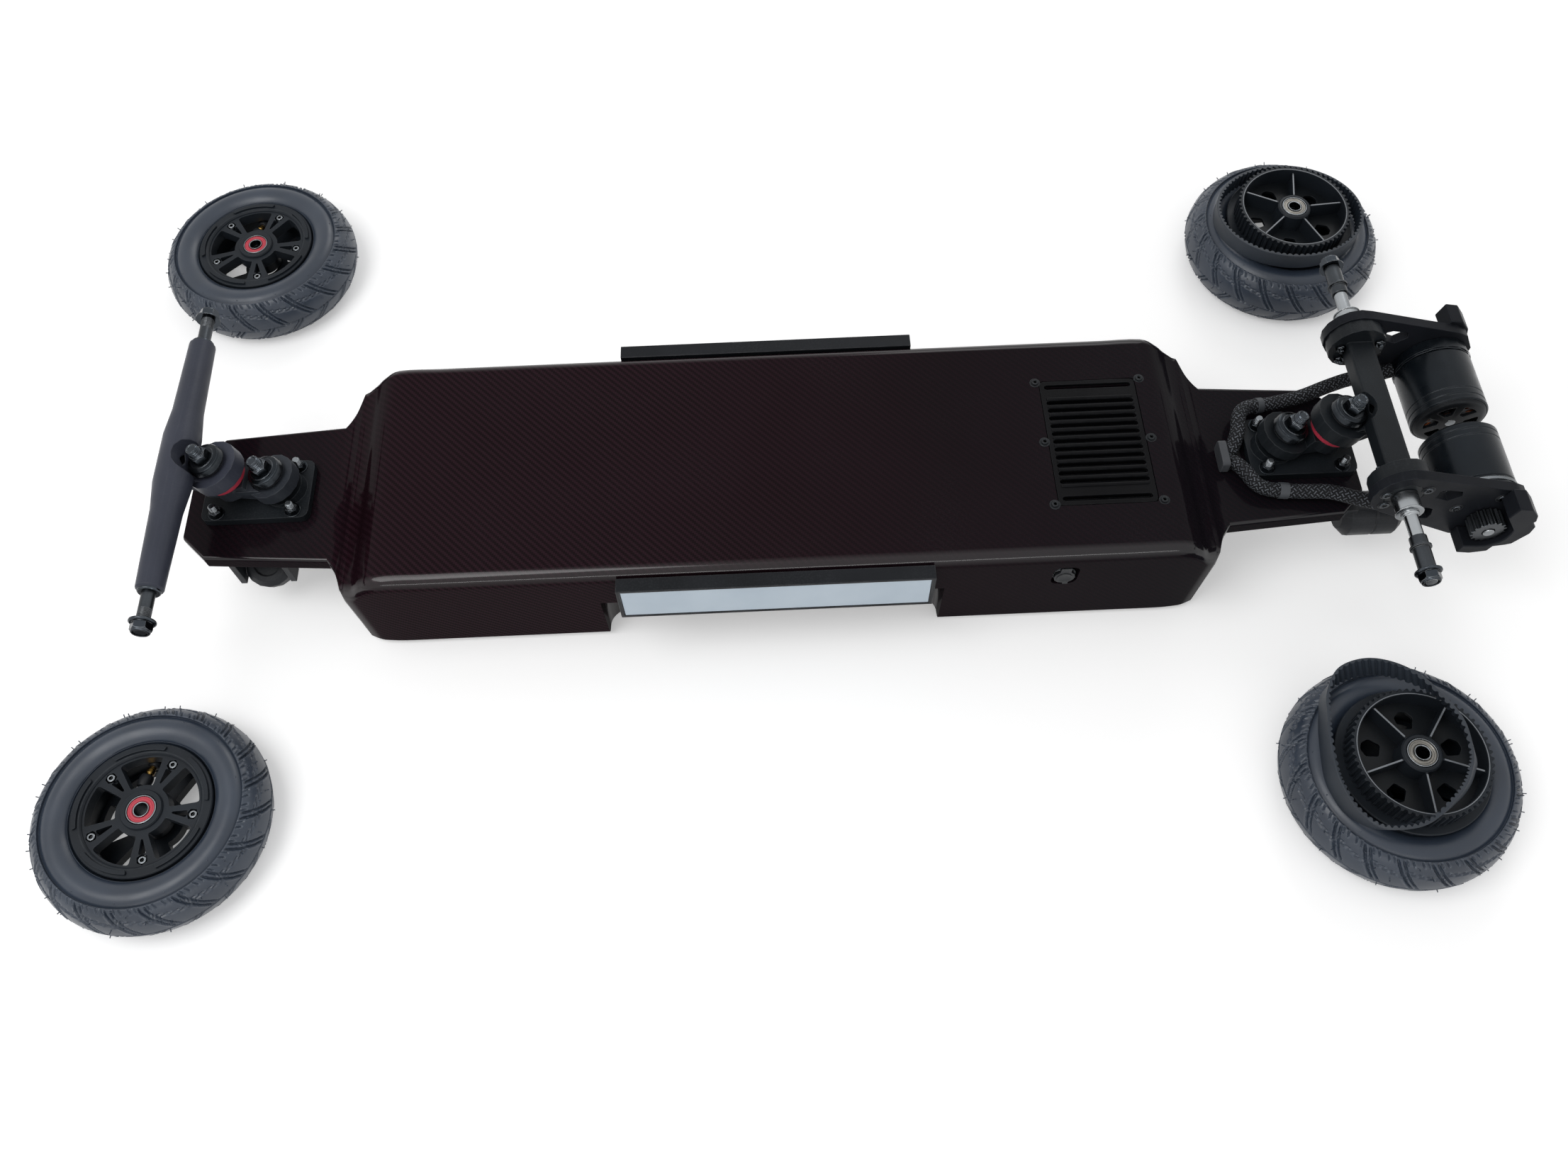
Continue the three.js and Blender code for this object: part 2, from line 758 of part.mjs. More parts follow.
function noseLamp() {
  const body = revolve([
    [0, 0], [noseLampRadius - noseLampRing, 0], [noseLampRadius, -noseLampRing],
    [noseLampRadius, -noseLampDepth], [0, -noseLampDepth],
  ], roundSegments);
  const bore = rod(noseLampRadius - 2 * noseLampRing, -noseLampRing / 2, overrun);
  const head = cut(body, bore).rotateX(degrees(noseLampTiltDegrees));
  const plateLow = plateTop - plateThickness - fitGap - noseLampZ;
  const legs = [-1, 1].map((side) => {
    const inner = noseLampRadius - noseLampArm / 2;
    const [lowX, highX] = mirroredY(side, inner, inner + noseLampArm);
    return block(lowX, highX, -noseLampLegWidth, 0, -noseLampLegWidth, plateLow);
  });
  return unite(head, ...legs).translate(noseLampX, noseLampY, noseLampZ);
}

function tailLamp() {
  const seamAt = tailLampLength * tailLampSeamShare;
  const profile = [
    [0, 0], [tailLampRadius - tailLampRounding, 0], [tailLampRadius, tailLampRounding],
    [tailLampRadius, seamAt], [tailLampRadius - tailLampSeam, seamAt + tailLampSeam],
    [tailLampRadius, seamAt + 2 * tailLampSeam], [tailLampRadius, tailLampLength - tailLampRounding],
    [tailLampRadius - tailLampRounding, tailLampLength], [0, tailLampLength],
  ];
  const plateLow = plateTop - plateThickness - fitGap;
  const axisZ = plateLow - tailLampFoot - tailLampRadius;
  const barrel = alongX(revolve(profile)).translate(tailLampStart, tailLampY, axisZ);
  const halfFoot = tailLampRadius / 2;
  const foot = block(tailLampStart, tailLampStart + tailLampFootLength,
    tailLampY - halfFoot, tailLampY + halfFoot, axisZ, plateLow);
  return unite(barrel, foot);
}

// Trucks. A truck's own frame has its origin under the middle of its baseplate, with X outwards.
// The kingpin frame starts at the top of the link's eye, with Z along the kingpins.

const tilt = degrees(kingpinTiltDegrees);
const pivotToAxleX = truckReach + innerPivotSetback;
const pivotToAxleZ = axleHeight - innerPivotHeight;
const axleOut = pivotToAxleX * Math.cos(tilt) - pivotToAxleZ * Math.sin(tilt);
const axleUp = pivotToAxleX * Math.sin(tilt) + pivotToAxleZ * Math.cos(tilt);
const lowerSeat = -linkEyeThickness - lowerBushing - 2 * fitGap;
const hangerEyeLow = linkBossTop + outerLowerBushing + 2 * fitGap;
const hangerEyeTop = hangerEyeLow + hangerEyeThickness;

const toKingpin = (geometry) => geometry.rotateY(tilt).translate(-innerPivotSetback, 0, innerPivotHeight);

function baseplate() {
  const halfLength = baseLength / 2;
  const halfWidth = baseWidth / 2;
  const outline = roundedRectangle(-halfLength, halfLength, -halfWidth, halfWidth, baseCornerRadius);
  const foot = prism(outline, fitGap, fitGap + baseThickness);
  const boss = common(toKingpin(rod(baseBossRadius, 2 * lowerSeat, lowerSeat)),
    block(-halfLength, halfLength, -halfWidth, halfWidth, fitGap, innerPivotHeight));
  const seat = toKingpin(rod(baseBossRadius - 4 * fitGap, lowerSeat, 0));
  const bore = toKingpin(rod(kingpinRadius + fitGap, -kingpinRoot - fitGap, 0, smallSegments));
  const holes = boltPlaces().map(([x, y]) =>
    rod(boltRadius + fitGap, -overrun, baseThickness + overrun, boltSegments).translate(x, y, 0));
  return cut(unite(foot, boss), seat, bore, ...holes);
}

function boltPlaces() {
  return [-1, 1].flatMap((alongSide) =>
    [-1, 1].map((acrossSide) => [alongSide * boltSpacingX / 2, acrossSide * boltSpacingY / 2]));
}

// A kingpin with its cup washer and nut above a bushing that ends at the height given
function kingpin(root, bushingTop) {
  const cupLow = bushingTop + fitGap;
  const cup = revolve([
    [0, cupLow], [cupRadius - cupThickness, cupLow], [cupRadius - cupThickness, cupLow - cupLip],
    [cupRadius, cupLow - cupLip], [cupRadius, cupLow + cupThickness / 2],
    [cupRadius - cupThickness, cupLow + 2 * cupThickness], [0, cupLow + 2 * cupThickness],
  ]);
  const nutLow = cupLow + cupThickness;
  const nut = rod(nutRadius, nutLow, nutLow + nutHeight + cupThickness, hexSegments);
  const shank = rod(kingpinRadius, root, nutLow + nutHeight + cupThickness + kingpinTip, smallSegments);
  return unite(cup, nut, shank);
}

const cupInside = cupRadius - cupThickness - fitGap;
const kingpinBore = kingpinRadius + fitGap;
const sleeveOuter = kingpinBore + sleeveWall;

// Lower and upper bushing of one kingpin, joined by a thin sleeve through the eye between them
function bushings(low, eyeLow, eyeTop, lowRadius) {
  const high = eyeTop + upperBushing;
  return revolve([
    [kingpinBore, low], [lowRadius, low], [bushingRadius, eyeLow - fitGap], [sleeveOuter, eyeLow - fitGap],
    [sleeveOuter, eyeTop + fitGap], [cupInside, eyeTop + fitGap], [cupInside, high], [kingpinBore, high],
  ]);
}

const innerBushings = () => bushings(lowerSeat + fitGap, -linkEyeThickness, 0, bushingTopRadius);
const outerBushings = () => bushings(linkBossTop + fitGap, hangerEyeLow, hangerEyeTop, bushingRadius)
  .translate(kingpinSpacing, 0, 0);

// Two round eyes joined by a level slab that reaches out under the hanger
function link() {
  const eye = rod(linkEyeRadius, -linkEyeThickness, 0);
  const bossLow = linkBossTop - linkBossThickness;
  const boss = rod(linkBossRadius, bossLow, linkBossTop).translate(kingpinSpacing, 0, 0);
  const outline = new THREE.Shape();
  outline.moveTo(0, -linkSlabHalfWidth);
  outline.absarc(linkSlabReach - linkSlabHalfWidth, 0, linkSlabHalfWidth, -Math.PI / 2, Math.PI / 2, false);
  outline.lineTo(0, linkSlabHalfWidth);
  const slab = prism(outline, -linkSlabThickness, 0, boltSegments).rotateY(-tilt);
  const innerRoom = rod(cupRadius + 4 * fitGap, 0, hangerEyeLow);
  const outerRoom = rod(hangerEyeRadius + linkBossRadius, linkBossTop, 2 * hangerEyeLow)
    .translate(kingpinSpacing, 0, 0);
  const neck = kingpinSpacing - linkBossRadius;
  const web = across(polygon([
    [0, -linkEyeThickness], [neck, -linkEyeThickness], [kingpinSpacing, bossLow],
    [kingpinSpacing, linkBossTop], [neck + fitGap, linkBossTop], [cupRadius + fitGap * 4, 0], [0, 0],
  ]), -linkWebHalfWidth, linkWebHalfWidth);
  const innerBore = rod(sleeveOuter + fitGap, -linkEyeThickness - overrun, overrun, smallSegments);
  const outerBore = rod(kingpinRadius + fitGap, bossLow + fitGap, linkBossTop + overrun, smallSegments)
    .translate(kingpinSpacing, 0, 0);
  return cut(unite(eye, boss, web, cut(slab, innerRoom, outerRoom)), innerBore, outerBore);
}

// The eye of a hanger and the web that carries its beam, with the pocket that the upper bushing sits in
function hangerOn(beam) {
  const eye = rod(hangerEyeRadius, hangerEyeLow, hangerEyeTop).translate(kingpinSpacing, 0, 0);
  const webShares = [[0, 0], [0.8, 0], [1.35, 0.55], [1.5, 0.95], [1.25, 1.2], [0.4, 0.5], [0, 0.5]];
  const reach = axleOut - kingpinSpacing;
  const rise = axleUp - hangerEyeLow;
  const web = across(polygon(webShares.map(([out, up]) =>
    [kingpinSpacing + reach * out, hangerEyeLow + rise * up])), -hangerWebHalfWidth, hangerWebHalfWidth);
  const pocket = rod(hangerPocketRadius, hangerEyeTop, 2 * axleUp).translate(kingpinSpacing, 0, 0);
  const bore = rod(sleeveOuter + fitGap, hangerEyeLow - overrun, hangerEyeTop + overrun, smallSegments)
    .translate(kingpinSpacing, 0, 0);
  const half = rearAxleHalf;
  const axleBore = alongY(rod(axleRadius + fitGap, -half, half, smallSegments))
    .translate(axleOut, 0, axleUp);
  return cut(unite(eye, web, beam), pocket, bore, axleBore);
}

function frontHanger() {
  const half = [
    [frontHangerMidRadius, frontHangerShoulder], [frontHangerEndRadius + hangerChamfer, frontHangerWaist],
    [frontHangerEndRadius, frontHangerHalf - hangerChamfer],
    [frontHangerEndRadius - hangerChamfer, frontHangerHalf],
    [0, frontHangerHalf],
  ];
  const profile = [...[...half].reverse().map(([r, y]) => [r, -y]), ...half];
  return hangerOn(alongY(revolve(profile)).translate(axleOut, 0, axleUp));
}

function rearHanger() {
  const barWidth = rearBarWidth / 2;
  const barHeight = rearBarHeight / 2;
  const section = roundedRectangle(-barWidth, barWidth, -barHeight, barHeight, plateEdgeRadius);
  const bar = across(section, -rearBarHalf, rearBarHalf).rotateY(-tilt);
  const ends = [-1, 1].flatMap((side) => [
    alongY(rod(rearFlangeRadius, ...mirroredY(side, rearBarHalf - overrun, plateInner - fitGap))),
    alongY(rod(rearEndRadius, ...mirroredY(side, rearBarHalf, plateInner + motorPlateThickness))),
  ]);
  return hangerOn(unite(bar, ...ends).translate(axleOut, 0, axleUp));
}

function frontAxle() {
  return alongY(rod(axleRadius, -frontAxleHalf, frontAxleHalf, smallSegments))
    .translate(axleOut, 0, axleUp);
}

// The axle with a sleeve against each motor plate and a spacer under each nut
function rearAxle() {
  const sleeveStart = plateInner + motorPlateThickness + fitGap;
  const sleeveEnd = sleeveStart + sleeveLength;
  const spacerEnd = rearAxleHalf - axleNutSetback - axleNutHeight / 2 - fitGap;
  const spacerStart = spacerEnd - spacerLength;
  const ringStart = spacerStart + spacerRingSetback;
  const half = [
    [axleRadius, sleeveStart], [sleeveRadius, sleeveStart],
    [sleeveRadius, sleeveEnd], [axleRadius, sleeveEnd],
    [axleRadius, spacerStart], [axleSpacerRadius, spacerStart], [axleSpacerRadius, ringStart],
    [spacerRingRadius, ringStart], [spacerRingRadius, ringStart + spacerRing],
    [axleSpacerRadius, ringStart + spacerRing], [axleSpacerRadius, spacerEnd], [axleRadius, spacerEnd],
    [axleRadius, rearAxleHalf], [0, rearAxleHalf],
  ];
  const profile = [...[...half].reverse().map(([r, y]) => [r, -y]), ...half];
  return alongY(revolve(profile, smallSegments)).translate(axleOut, 0, axleUp);
}

function axleNut(centre, side) {
  const low = centre - axleNutHeight / 2;
  const flange = rod(axleNutFlangeRadius, low, low + axleNutFlange, smallSegments);
  const hexagon = rod(axleNutRadius, low, low + axleNutHeight, hexSegments);
  const bore = rod(axleRadius + fitGap, low - overrun, low + axleNutHeight + overrun, smallSegments);
  return towardsSide(alongY(cut(unite(flange, hexagon), bore)), side).translate(axleOut, 0, axleUp);
}

// Rear drive, in a level frame on the axle. A piece for the near side is mirrored or turned round.

const plateOuter = plateInner + motorPlateThickness;

function circlePoints(centreX, centreZ, radius, y) {
  return Array.from({ length: roundSegments }, (_, i) => {
    const angle = (i / roundSegments) * 2 * Math.PI;
    return new THREE.Vector3(centreX + radius * Math.cos(angle), y, centreZ + radius * Math.sin(angle));
  });
}

// Corners of the motor's end of the plate and of its windows, as shares of the way from axle to motor
const motorEndShares = [
  [0.78, 1.71], [1.01, 1.78], [1.24, 1.53], [1.39, 0.97], [1.39, 0.59], [1.27, 0.15], [1.145, 0],
];
const windowShares = [
  [[0.345, 0.147], [0.495, 0.289], [0.608, 0.106], [0.58, -0.071], [0.406, -0.156], [0.344, -0.112]],
  [
    [0.311, 0.914], [0.346, 0.979], [0.414, 0.994], [0.43, 0.844],
    [0.404, 0.599], [0.317, 0.525], [0.288, 0.637],
  ],
];
const onMotorAxis = (geometry) => geometry.translate(motorOffsetX, 0, -motorDrop);
const fromAxle = ([along, down]) => [motorOffsetX * along, -motorDrop * down];

function motorPlate(side) {
  const [low, high] = mirroredY(side, plateInner, plateOuter);
  const points = [low, high].flatMap((y) => [
    ...circlePoints(0, 0, clampRadius, y),
    ...motorEndShares.map(fromAxle).map(([x, z]) => new THREE.Vector3(x, y, z)),
  ]);
  const clampBore = alongY(rod(rearEndRadius + fitGap, low - overrun, high + overrun));
  const pilot = onMotorAxis(alongY(rod(pilotRadius, low - overrun, high + overrun)));
  const windows = windowShares.map((shares) =>
    across(polygon(shares.map(fromAxle)), low - overrun, high + overrun));
  return cut(new ConvexGeometry(points), clampBore, pilot, ...windows);
}

// Outer corners of the guard's wall and the ends of its inside, as shares of its reach
const guardOuterShares = [
  [-0.53, -0.75], [-0.17, -0.82], [0.26, -0.75], [0.32, -0.53], [0.6, -0.48], [0.75, -0.43], [0.99, 0.05],
  [0.98, 0.37], [0.82, 0.58], [0.87, 0.64], [0.79, 0.89], [0.52, 1.21], [0.18, 1.28],
];
const guardInnerShares = { top: [[0.07, 0.85], [0.5, 0.23]], bottom: [[-0.49, -0.43]] };

// A wall that bends round the outer side of the pinion and is open towards the axle
function pinionGuard(side) {
  const [low, high] = mirroredY(side, plateOuter + fitGap, guardOuter);
  const fromMotor = ([out, up]) => [guardReach * out, guardReach * up];
  const radius = pinionTipRadius + guardClearance;
  const round = Array.from({ length: guardWallSteps }, (_, i) => {
    const angle = -(i / guardWallSteps) * degrees(guardWallDegrees);
    return [radius * Math.cos(angle), radius * Math.sin(angle)];
  });
  const outline = polygon([
    ...guardOuterShares.map(fromMotor), ...guardInnerShares.top.map(fromMotor), ...round,
    ...guardInnerShares.bottom.map(fromMotor),
  ]);
  return onMotorAxis(across(outline, low, high));
}

function motorStator(side) {
  const base = canOuterEnd + fitGap;
  const profile = [
    [stator.boreRadius, stator.innerEnd], [stator.radius, stator.innerEnd], [stator.radius, base],
    [stator.flangeRadius, base], [stator.flangeRadius, plateInner - fitGap],
    [stator.boreRadius, plateInner - fitGap],
  ];
  return onMotorAxis(towardsSide(alongY(revolve(profile)), side));
}

function motorRotor(side) {
  const bellInside = canInnerEnd + bellThickness;
  const profile = [
    [0, canInnerEnd], [bellRadius, canInnerEnd], [bellRadius, bellInside - hangerChamfer],
    [motorRadius - hangerChamfer, bellInside - hangerChamfer], [motorRadius, bellInside],
    [motorRadius, canOuterEnd], [motorRadius - canWall, canOuterEnd], [motorRadius - canWall, bellInside],
    [shaftRadius, bellInside], [shaftRadius, plateOuter + fitGap + pinionLength + fitGap],
    [0, plateOuter + fitGap + pinionLength + fitGap],
  ];
  const span = degrees(bellWindowDegrees);
  const windows = Array.from({ length: bellWindowCount }, (_, i) => {
    const middle = (i / bellWindowCount) * 2 * Math.PI;
    const shape = new THREE.Shape();
    shape.absarc(0, 0, bellWindowOuter, middle - span / 2, middle + span / 2, false);
    shape.absarc(0, 0, bellWindowInner, middle + span / 2, middle - span / 2, true);
    return prism(shape, canInnerEnd - overrun, bellInside + overrun, arcSteps);
  });
  return onMotorAxis(towardsSide(alongY(cut(revolve(profile), ...windows)), side));
}

function drivePinion(side) {
  const low = plateOuter + 2 * fitGap;
  const outline = toothedOutline(pinionToothCount, pinionRootRadius, pinionTipRadius, pinionToothShares);
  const gear = prism(outline, low, low + pinionLength);
  const bore = rod(shaftRadius + fitGap, low - overrun, low + pinionLength + overrun, smallSegments);
  return onMotorAxis(towardsSide(alongY(cut(gear, bore)), side));
}

// Wheels

const rimOuter = rimRadius - fitGap;
const rimInner = rimOuter - rimWall;
const rimHigh = tyreWidth - rimLow;

function tyre() {
  const middle = tyreWidth / 2;
  const section = tyreRadius - rimRadius;
  const outerShares = [[0, 0.74], [0.2, 1], [0.66, 0.86], [0.93, 0.42], [1, 0]];
  const innerShares = [[0.03, 0.5], [0.6, 0.72], [0.86, 0]];
  const place = ([out, up], side) => [rimRadius + section * out, middle + side * middle * up];
  const outer = [
    ...outerShares.map((share) => place(share, -1)),
    ...outerShares.slice(0, -1).reverse().map((share) => place(share, 1)),
  ];
  const inner = [
    ...innerShares.map((share) => place(share, 1)),
    ...innerShares.slice(0, -1).reverse().map((share) => place(share, -1)),
  ];
  return revolve([...outer, ...inner], fineSegments);
}

// The spoked face between two heights, with windows between pairs of spokes and a slot inside each pair
function spokedPlate(low, high) {
  const disc = rod(rimInner + rimWall / 2, low, high, fineSegments);
  const span = degrees(windowSpanDegrees);
  const step = 2 * Math.PI / spokeCount;
  const holes = Array.from({ length: spokeCount }, (_, i) => {
    const spoke = i * step;
    const middle = spoke + step / 2;
    const pane = new THREE.Shape();
    pane.absarc(0, 0, windowOuterRadius, middle - span / 2, middle + span / 2, false);
    pane.absarc(0, 0, windowInnerRadius, middle + span / 3, middle - span / 3, true);
    const split = block(splitInnerRadius, splitOuterRadius, -splitHalfWidth, splitHalfWidth,
      low - overrun, high + overrun).rotateZ(spoke);
    return [prism(pane, low - overrun, high + overrun, arcSteps), split];
  });
  return cut(disc, ...holes.flat());
}

function rimBarrel() {
  const profile = [[rimInner, rimLow], [rimOuter, rimLow], [rimOuter, rimHigh], [rimInner, rimHigh]];
  return revolve(profile, fineSegments);
}

// Bores for the two bearings, with a shoulder between them
function bearingSeats(lowFace, highFace) {
  const seat = bearingRadius + fitGap;
  return [
    rod(seat, lowFace - overrun, lowFace + bearingWidth + fitGap),
    rod(seat, highFace - bearingWidth - fitGap, highFace + overrun),
    rod(bearingRadius - bearingShoulder, lowFace, highFace),
  ];
}

function frontHub() {
  const boss = rod(hubBossRadius, frontBossLow, frontFaceHigh);
  const face = frontFaceHigh - spokeRecess;
  const body = unite(rimBarrel(), spokedPlate(face - spokePlateThickness, face), boss);
  return cut(body, ...bearingSeats(frontBossLow, frontFaceHigh));
}

function rearHub() {
  const step = 2 * Math.PI / spokeCount;
  const boss = rod(hubBossRadius, rearBearingLow, pulleyTop);
  const faceLow = rimLow + spokeRecess;
  const spokeLow = rearBearingLow - spokeRecess;
  const spokes = spokedPlate(spokeLow, spokeLow + spokePlateThickness);
  const teeth = toothedOutline(pulleyToothCount, pulleyRootRadius, pulleyTipRadius, pulleyToothShares);
  const pulley = cut(prism(teeth, pulleyLow, pulleyTop),
    rod(pulleyInnerRadius, pulleyLow - overrun, pulleyTop + overrun, fineSegments));
  const collar = revolve([
    [rimInner, faceLow], [rimInner + rimWall / 2, faceLow],
    [rimInner + rimWall / 2, pulleyLow - pulleyFlange],
    [pulleyFlangeRadius, pulleyLow - pulleyFlange], [pulleyFlangeRadius, pulleyLow], [rimInner, pulleyLow],
  ], fineSegments);
  const floorLow = pulleyFloor - pulleyFloorThickness;
  const floor = rod(pulleyInnerRadius + fitGap, floorLow, pulleyFloor, fineSegments);
  const ribs = Array.from({ length: spokeCount }, (_, i) =>
    block(hubBossRadius / 2, pulleyInnerRadius + fitGap, -pulleyRibThickness / 2, pulleyRibThickness / 2,
      floorLow, pulleyRibTop).rotateZ(i * step));
  const panes = Array.from({ length: spokeCount }, (_, i) =>
    rod(pulleyWindowSize, floorLow - overrun, pulleyFloor + overrun, spokeCount)
      .translate(0, pulleyWindowRadius, 0).rotateZ((i + 1 / 2) * step - Math.PI / 2));
  const plateWithPanes = cut(floor, ...panes);
  return cut(unite(rimBarrel(), collar, spokes, boss, pulley, plateWithPanes, ...ribs),
    ...bearingSeats(rearBearingLow, pulleyTop));
}

// The two bearings of a wheel with the spacer between their inner rings
function bearings(lowFace, highFace) {
  return revolve([
    [bearingBoreRadius, lowFace], [bearingRadius, lowFace], [bearingRadius, lowFace + bearingWidth],
    [spacerRadius, lowFace + bearingWidth], [spacerRadius, highFace - bearingWidth],
    [bearingRadius, highFace - bearingWidth], [bearingRadius, highFace], [bearingBoreRadius, highFace],
  ]);
}

// The far belt, a closed loop that stands on edge round its pulley
function farBelt() {
  const [halfX, halfY] = [farBeltHalfX, farBeltHalfY];
  const outline = new THREE.Shape();
  outline.absellipse(0, 0, halfX, halfY, 0, 2 * Math.PI, false, 0);
  const inside = new THREE.Path();
  inside.absellipse(0, 0, halfX - beltThickness, halfY - beltThickness, 0, 2 * Math.PI, true, 0);
  outline.holes.push(inside);
  return prism(outline, 0, beltWidth, beltSteps).translate(farBeltOffsetX, farBeltOffsetY, farBeltRest);
}

// Places along the upper and the lower edge of the near belt's outside, as [x, y, z, x, y, z].
// X and Y are shares of the tyre's radius and Z is a share of the height of the pulley's top.
const nearBeltShares = [
  [-0.702, 0.192, 0.923, -0.722, 0.23, 0.708], [-0.715, -0.069, 0.923, -0.757, -0.069, 0.708],
  [-0.697, -0.229, 0.923, -0.737, -0.234, 0.708], [-0.638, -0.443, 0.945, -0.663, -0.423, 0.727],
  [-0.514, -0.619, 1.009, -0.509, -0.571, 0.803], [-0.328, -0.663, 1.094, -0.309, -0.606, 0.895],
  [-0.151, -0.629, 1.17, -0.071, -0.573, 1.011], [0.051, -0.478, 1.207, 0.149, -0.44, 1.03],
  [0.177, -0.354, 1.222, 0.274, -0.326, 1.044], [0.259, -0.226, 1.229, 0.352, -0.208, 1.051],
  [0.314, -0.078, 1.229, 0.399, -0.088, 1.051], [0.325, 0.183, 1.222, 0.389, 0.206, 1.044],
  [0.249, 0.401, 1.2, 0.29, 0.44, 1.03], [0.091, 0.643, 1.172, 0.149, 0.594, 1.009],
  [-0.08, 0.8, 1.094, -0.039, 0.735, 0.909], [-0.288, 0.858, 1.037, -0.229, 0.783, 0.838],
  [-0.494, 0.802, 0.966, -0.434, 0.754, 0.76], [-0.625, 0.601, 0.937, -0.606, 0.651, 0.724],
  [-0.669, 0.389, 0.923, -0.68, 0.434, 0.709],
];

// Hangs over the pulley with its left side down on the tyre, bent as a loose belt is
function nearBelt() {
  const edge = (start) => new THREE.CatmullRomCurve3(nearBeltShares.map((row) => {
    const [x, y, z] = row.slice(start, start + 3);
    return new THREE.Vector3(x * tyreRadius, y * tyreRadius, z * pulleyTop);
  }), true);
  const [upper, lower] = [edge(0), edge(3)];
  const rings = Array.from({ length: bentBeltSteps }, (_, i) => {
    const share = i / bentBeltSteps;
    const [top, foot] = [upper.getPoint(share), lower.getPoint(share)];
    const inward = lower.getTangent(share).cross(top.clone().sub(foot)).setLength(-beltThickness);
    return [top, foot, foot.clone().add(inward), top.clone().add(inward)];
  });
  return closedLoft(rings);
}

// Assembly

const board = new THREE.Group();

board.add(
  piece('deck_shell', deckShell(), carbon),
  piece('deck_lid', prism(insideOutline(fitGap), 0, lidThickness), gripPaper),
  piece('vent_cover', ventCover(), blackMetal),
  piece('battery_pack', batteryPack(), shrinkWrap),
  piece('motor_controller', motorController(), blackMetal),
  piece('charge_socket', chargeSocket(), blackMetal),
  piece('charge_cap', chargeCap(), blackPlastic),
  piece('cable_gland', cableGland(), blackPlastic),
  piece('nose_lamp', noseLamp(), blackPlastic),
  piece('tail_lamp', tailLamp(), blackPlastic),
);

Object.entries(sideSign).forEach(([sideName, side]) => {
  board.add(
    piece(`light_frame_${sideName}`, lightFrame(side), blackMetal),
    piece(`light_diffuser_${sideName}`, lightDiffuser(side), milkyPlastic),
    piece(`motor_cable_${sideName}`, motorCable(cableRoutes[sideName]), braid),
  );
});

const truckPlaces = {
  front: { x: truckReach - frontAxleX, turn: Math.PI },
  rear: { x: rearAxleX - truckReach, turn: 0 },
};

Object.entries(truckPlaces).forEach(([end, { x, turn }]) => {
  const truck = new THREE.Group();
  truck.position.set(x, 0, plateTop);
  truck.rotation.z = turn;
  const kingpins = new THREE.Group();
  kingpins.position.set(-innerPivotSetback, 0, innerPivotHeight);
  kingpins.rotation.y = tilt;
  const outer = kingpin(linkBossTop - linkBossThickness + 2 * fitGap, hangerEyeTop + upperBushing)
    .translate(kingpinSpacing, 0, 0);
  truck.add(piece(`${end}_baseplate`, baseplate(), blackMetal), kingpins);
  kingpins.add(
    piece(`${end}_inner_kingpin`, kingpin(-kingpinRoot, upperBushing), darkSteel),
    piece(`${end}_inner_bushings`, innerBushings(), blackUrethane),
    piece(`${end}_link`, link(), blackMetal),
    piece(`${end}_outer_kingpin`, outer, darkSteel),
    piece(`${end}_outer_bushings`, outerBushings(), redUrethane),
    piece(`${end}_hanger`, end === 'front' ? frontHanger() : rearHanger(), blackMetal),
    end === 'front'
      ? piece('front_axle', frontAxle(), darkSteel)
      : piece('rear_axle', rearAxle(), brightSteel),
  );
  Object.entries(sideSign).forEach(([sideName, side]) => {
    const centre = (end === 'front' ? frontAxleHalf : rearAxleHalf) - axleNutSetback;
    kingpins.add(piece(`${end}_axle_nut_${sideName}`, axleNut(centre, side * Math.cos(turn)), darkSteel));
  });
  board.add(truck);
});

const drive = new THREE.Group();
drive.position.set(rearAxleX, 0, plateTop + axleHeight);
Object.entries(sideSign).forEach(([sideName, side]) => {
  drive.add(
    piece(`motor_plate_${sideName}`, motorPlate(side), blackMetal),
    piece(`pinion_guard_${sideName}`, pinionGuard(side), blackMetal),
    piece(`motor_stator_${sideName}`, motorStator(side), darkSteel),
    piece(`motor_rotor_${sideName}`, motorRotor(side), blackMetal),
    piece(`drive_pinion_${sideName}`, drivePinion(side), darkSteel),
  );
});
board.add(drive);

const rearFaces = [rearBearingLow, pulleyTop];
const frontFaces = [frontBossLow, frontFaceHigh];
Object.entries(wheelPlaces).forEach(([name, { x, y, turnDegrees }]) => {
  const wheel = new THREE.Group();
  wheel.position.set(x, y, 0);
  wheel.rotation.z = degrees(turnDegrees);
  const isRear = name.startsWith('rear');
  wheel.add(
    piece(`${name}_tyre`, tyre(), tyreRubber),
    piece(`${name}_hub`, isRear ? rearHub() : frontHub(), blackPlastic),
    piece(`${name}_bearings`, bearings(...(isRear ? rearFaces : frontFaces)), brightSteel),
  );
  board.add(wheel);
});
Object.entries({ rear_near: nearBelt, rear_far: farBelt }).forEach(([name, belt]) => {
  const { x, y } = wheelPlaces[name];
  board.add(piece(`${name}_belt`, belt().translate(x, y, 0), tyreRubber));
});

export default board;
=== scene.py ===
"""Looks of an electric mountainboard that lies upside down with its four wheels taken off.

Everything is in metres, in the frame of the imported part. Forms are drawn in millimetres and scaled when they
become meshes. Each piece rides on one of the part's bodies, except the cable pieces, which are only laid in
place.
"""

import json
import logging
import math
from dataclasses import dataclass
from enum import Enum
from typing import Iterable, Sequence

import bmesh
import bpy
from mathutils import Matrix, Vector


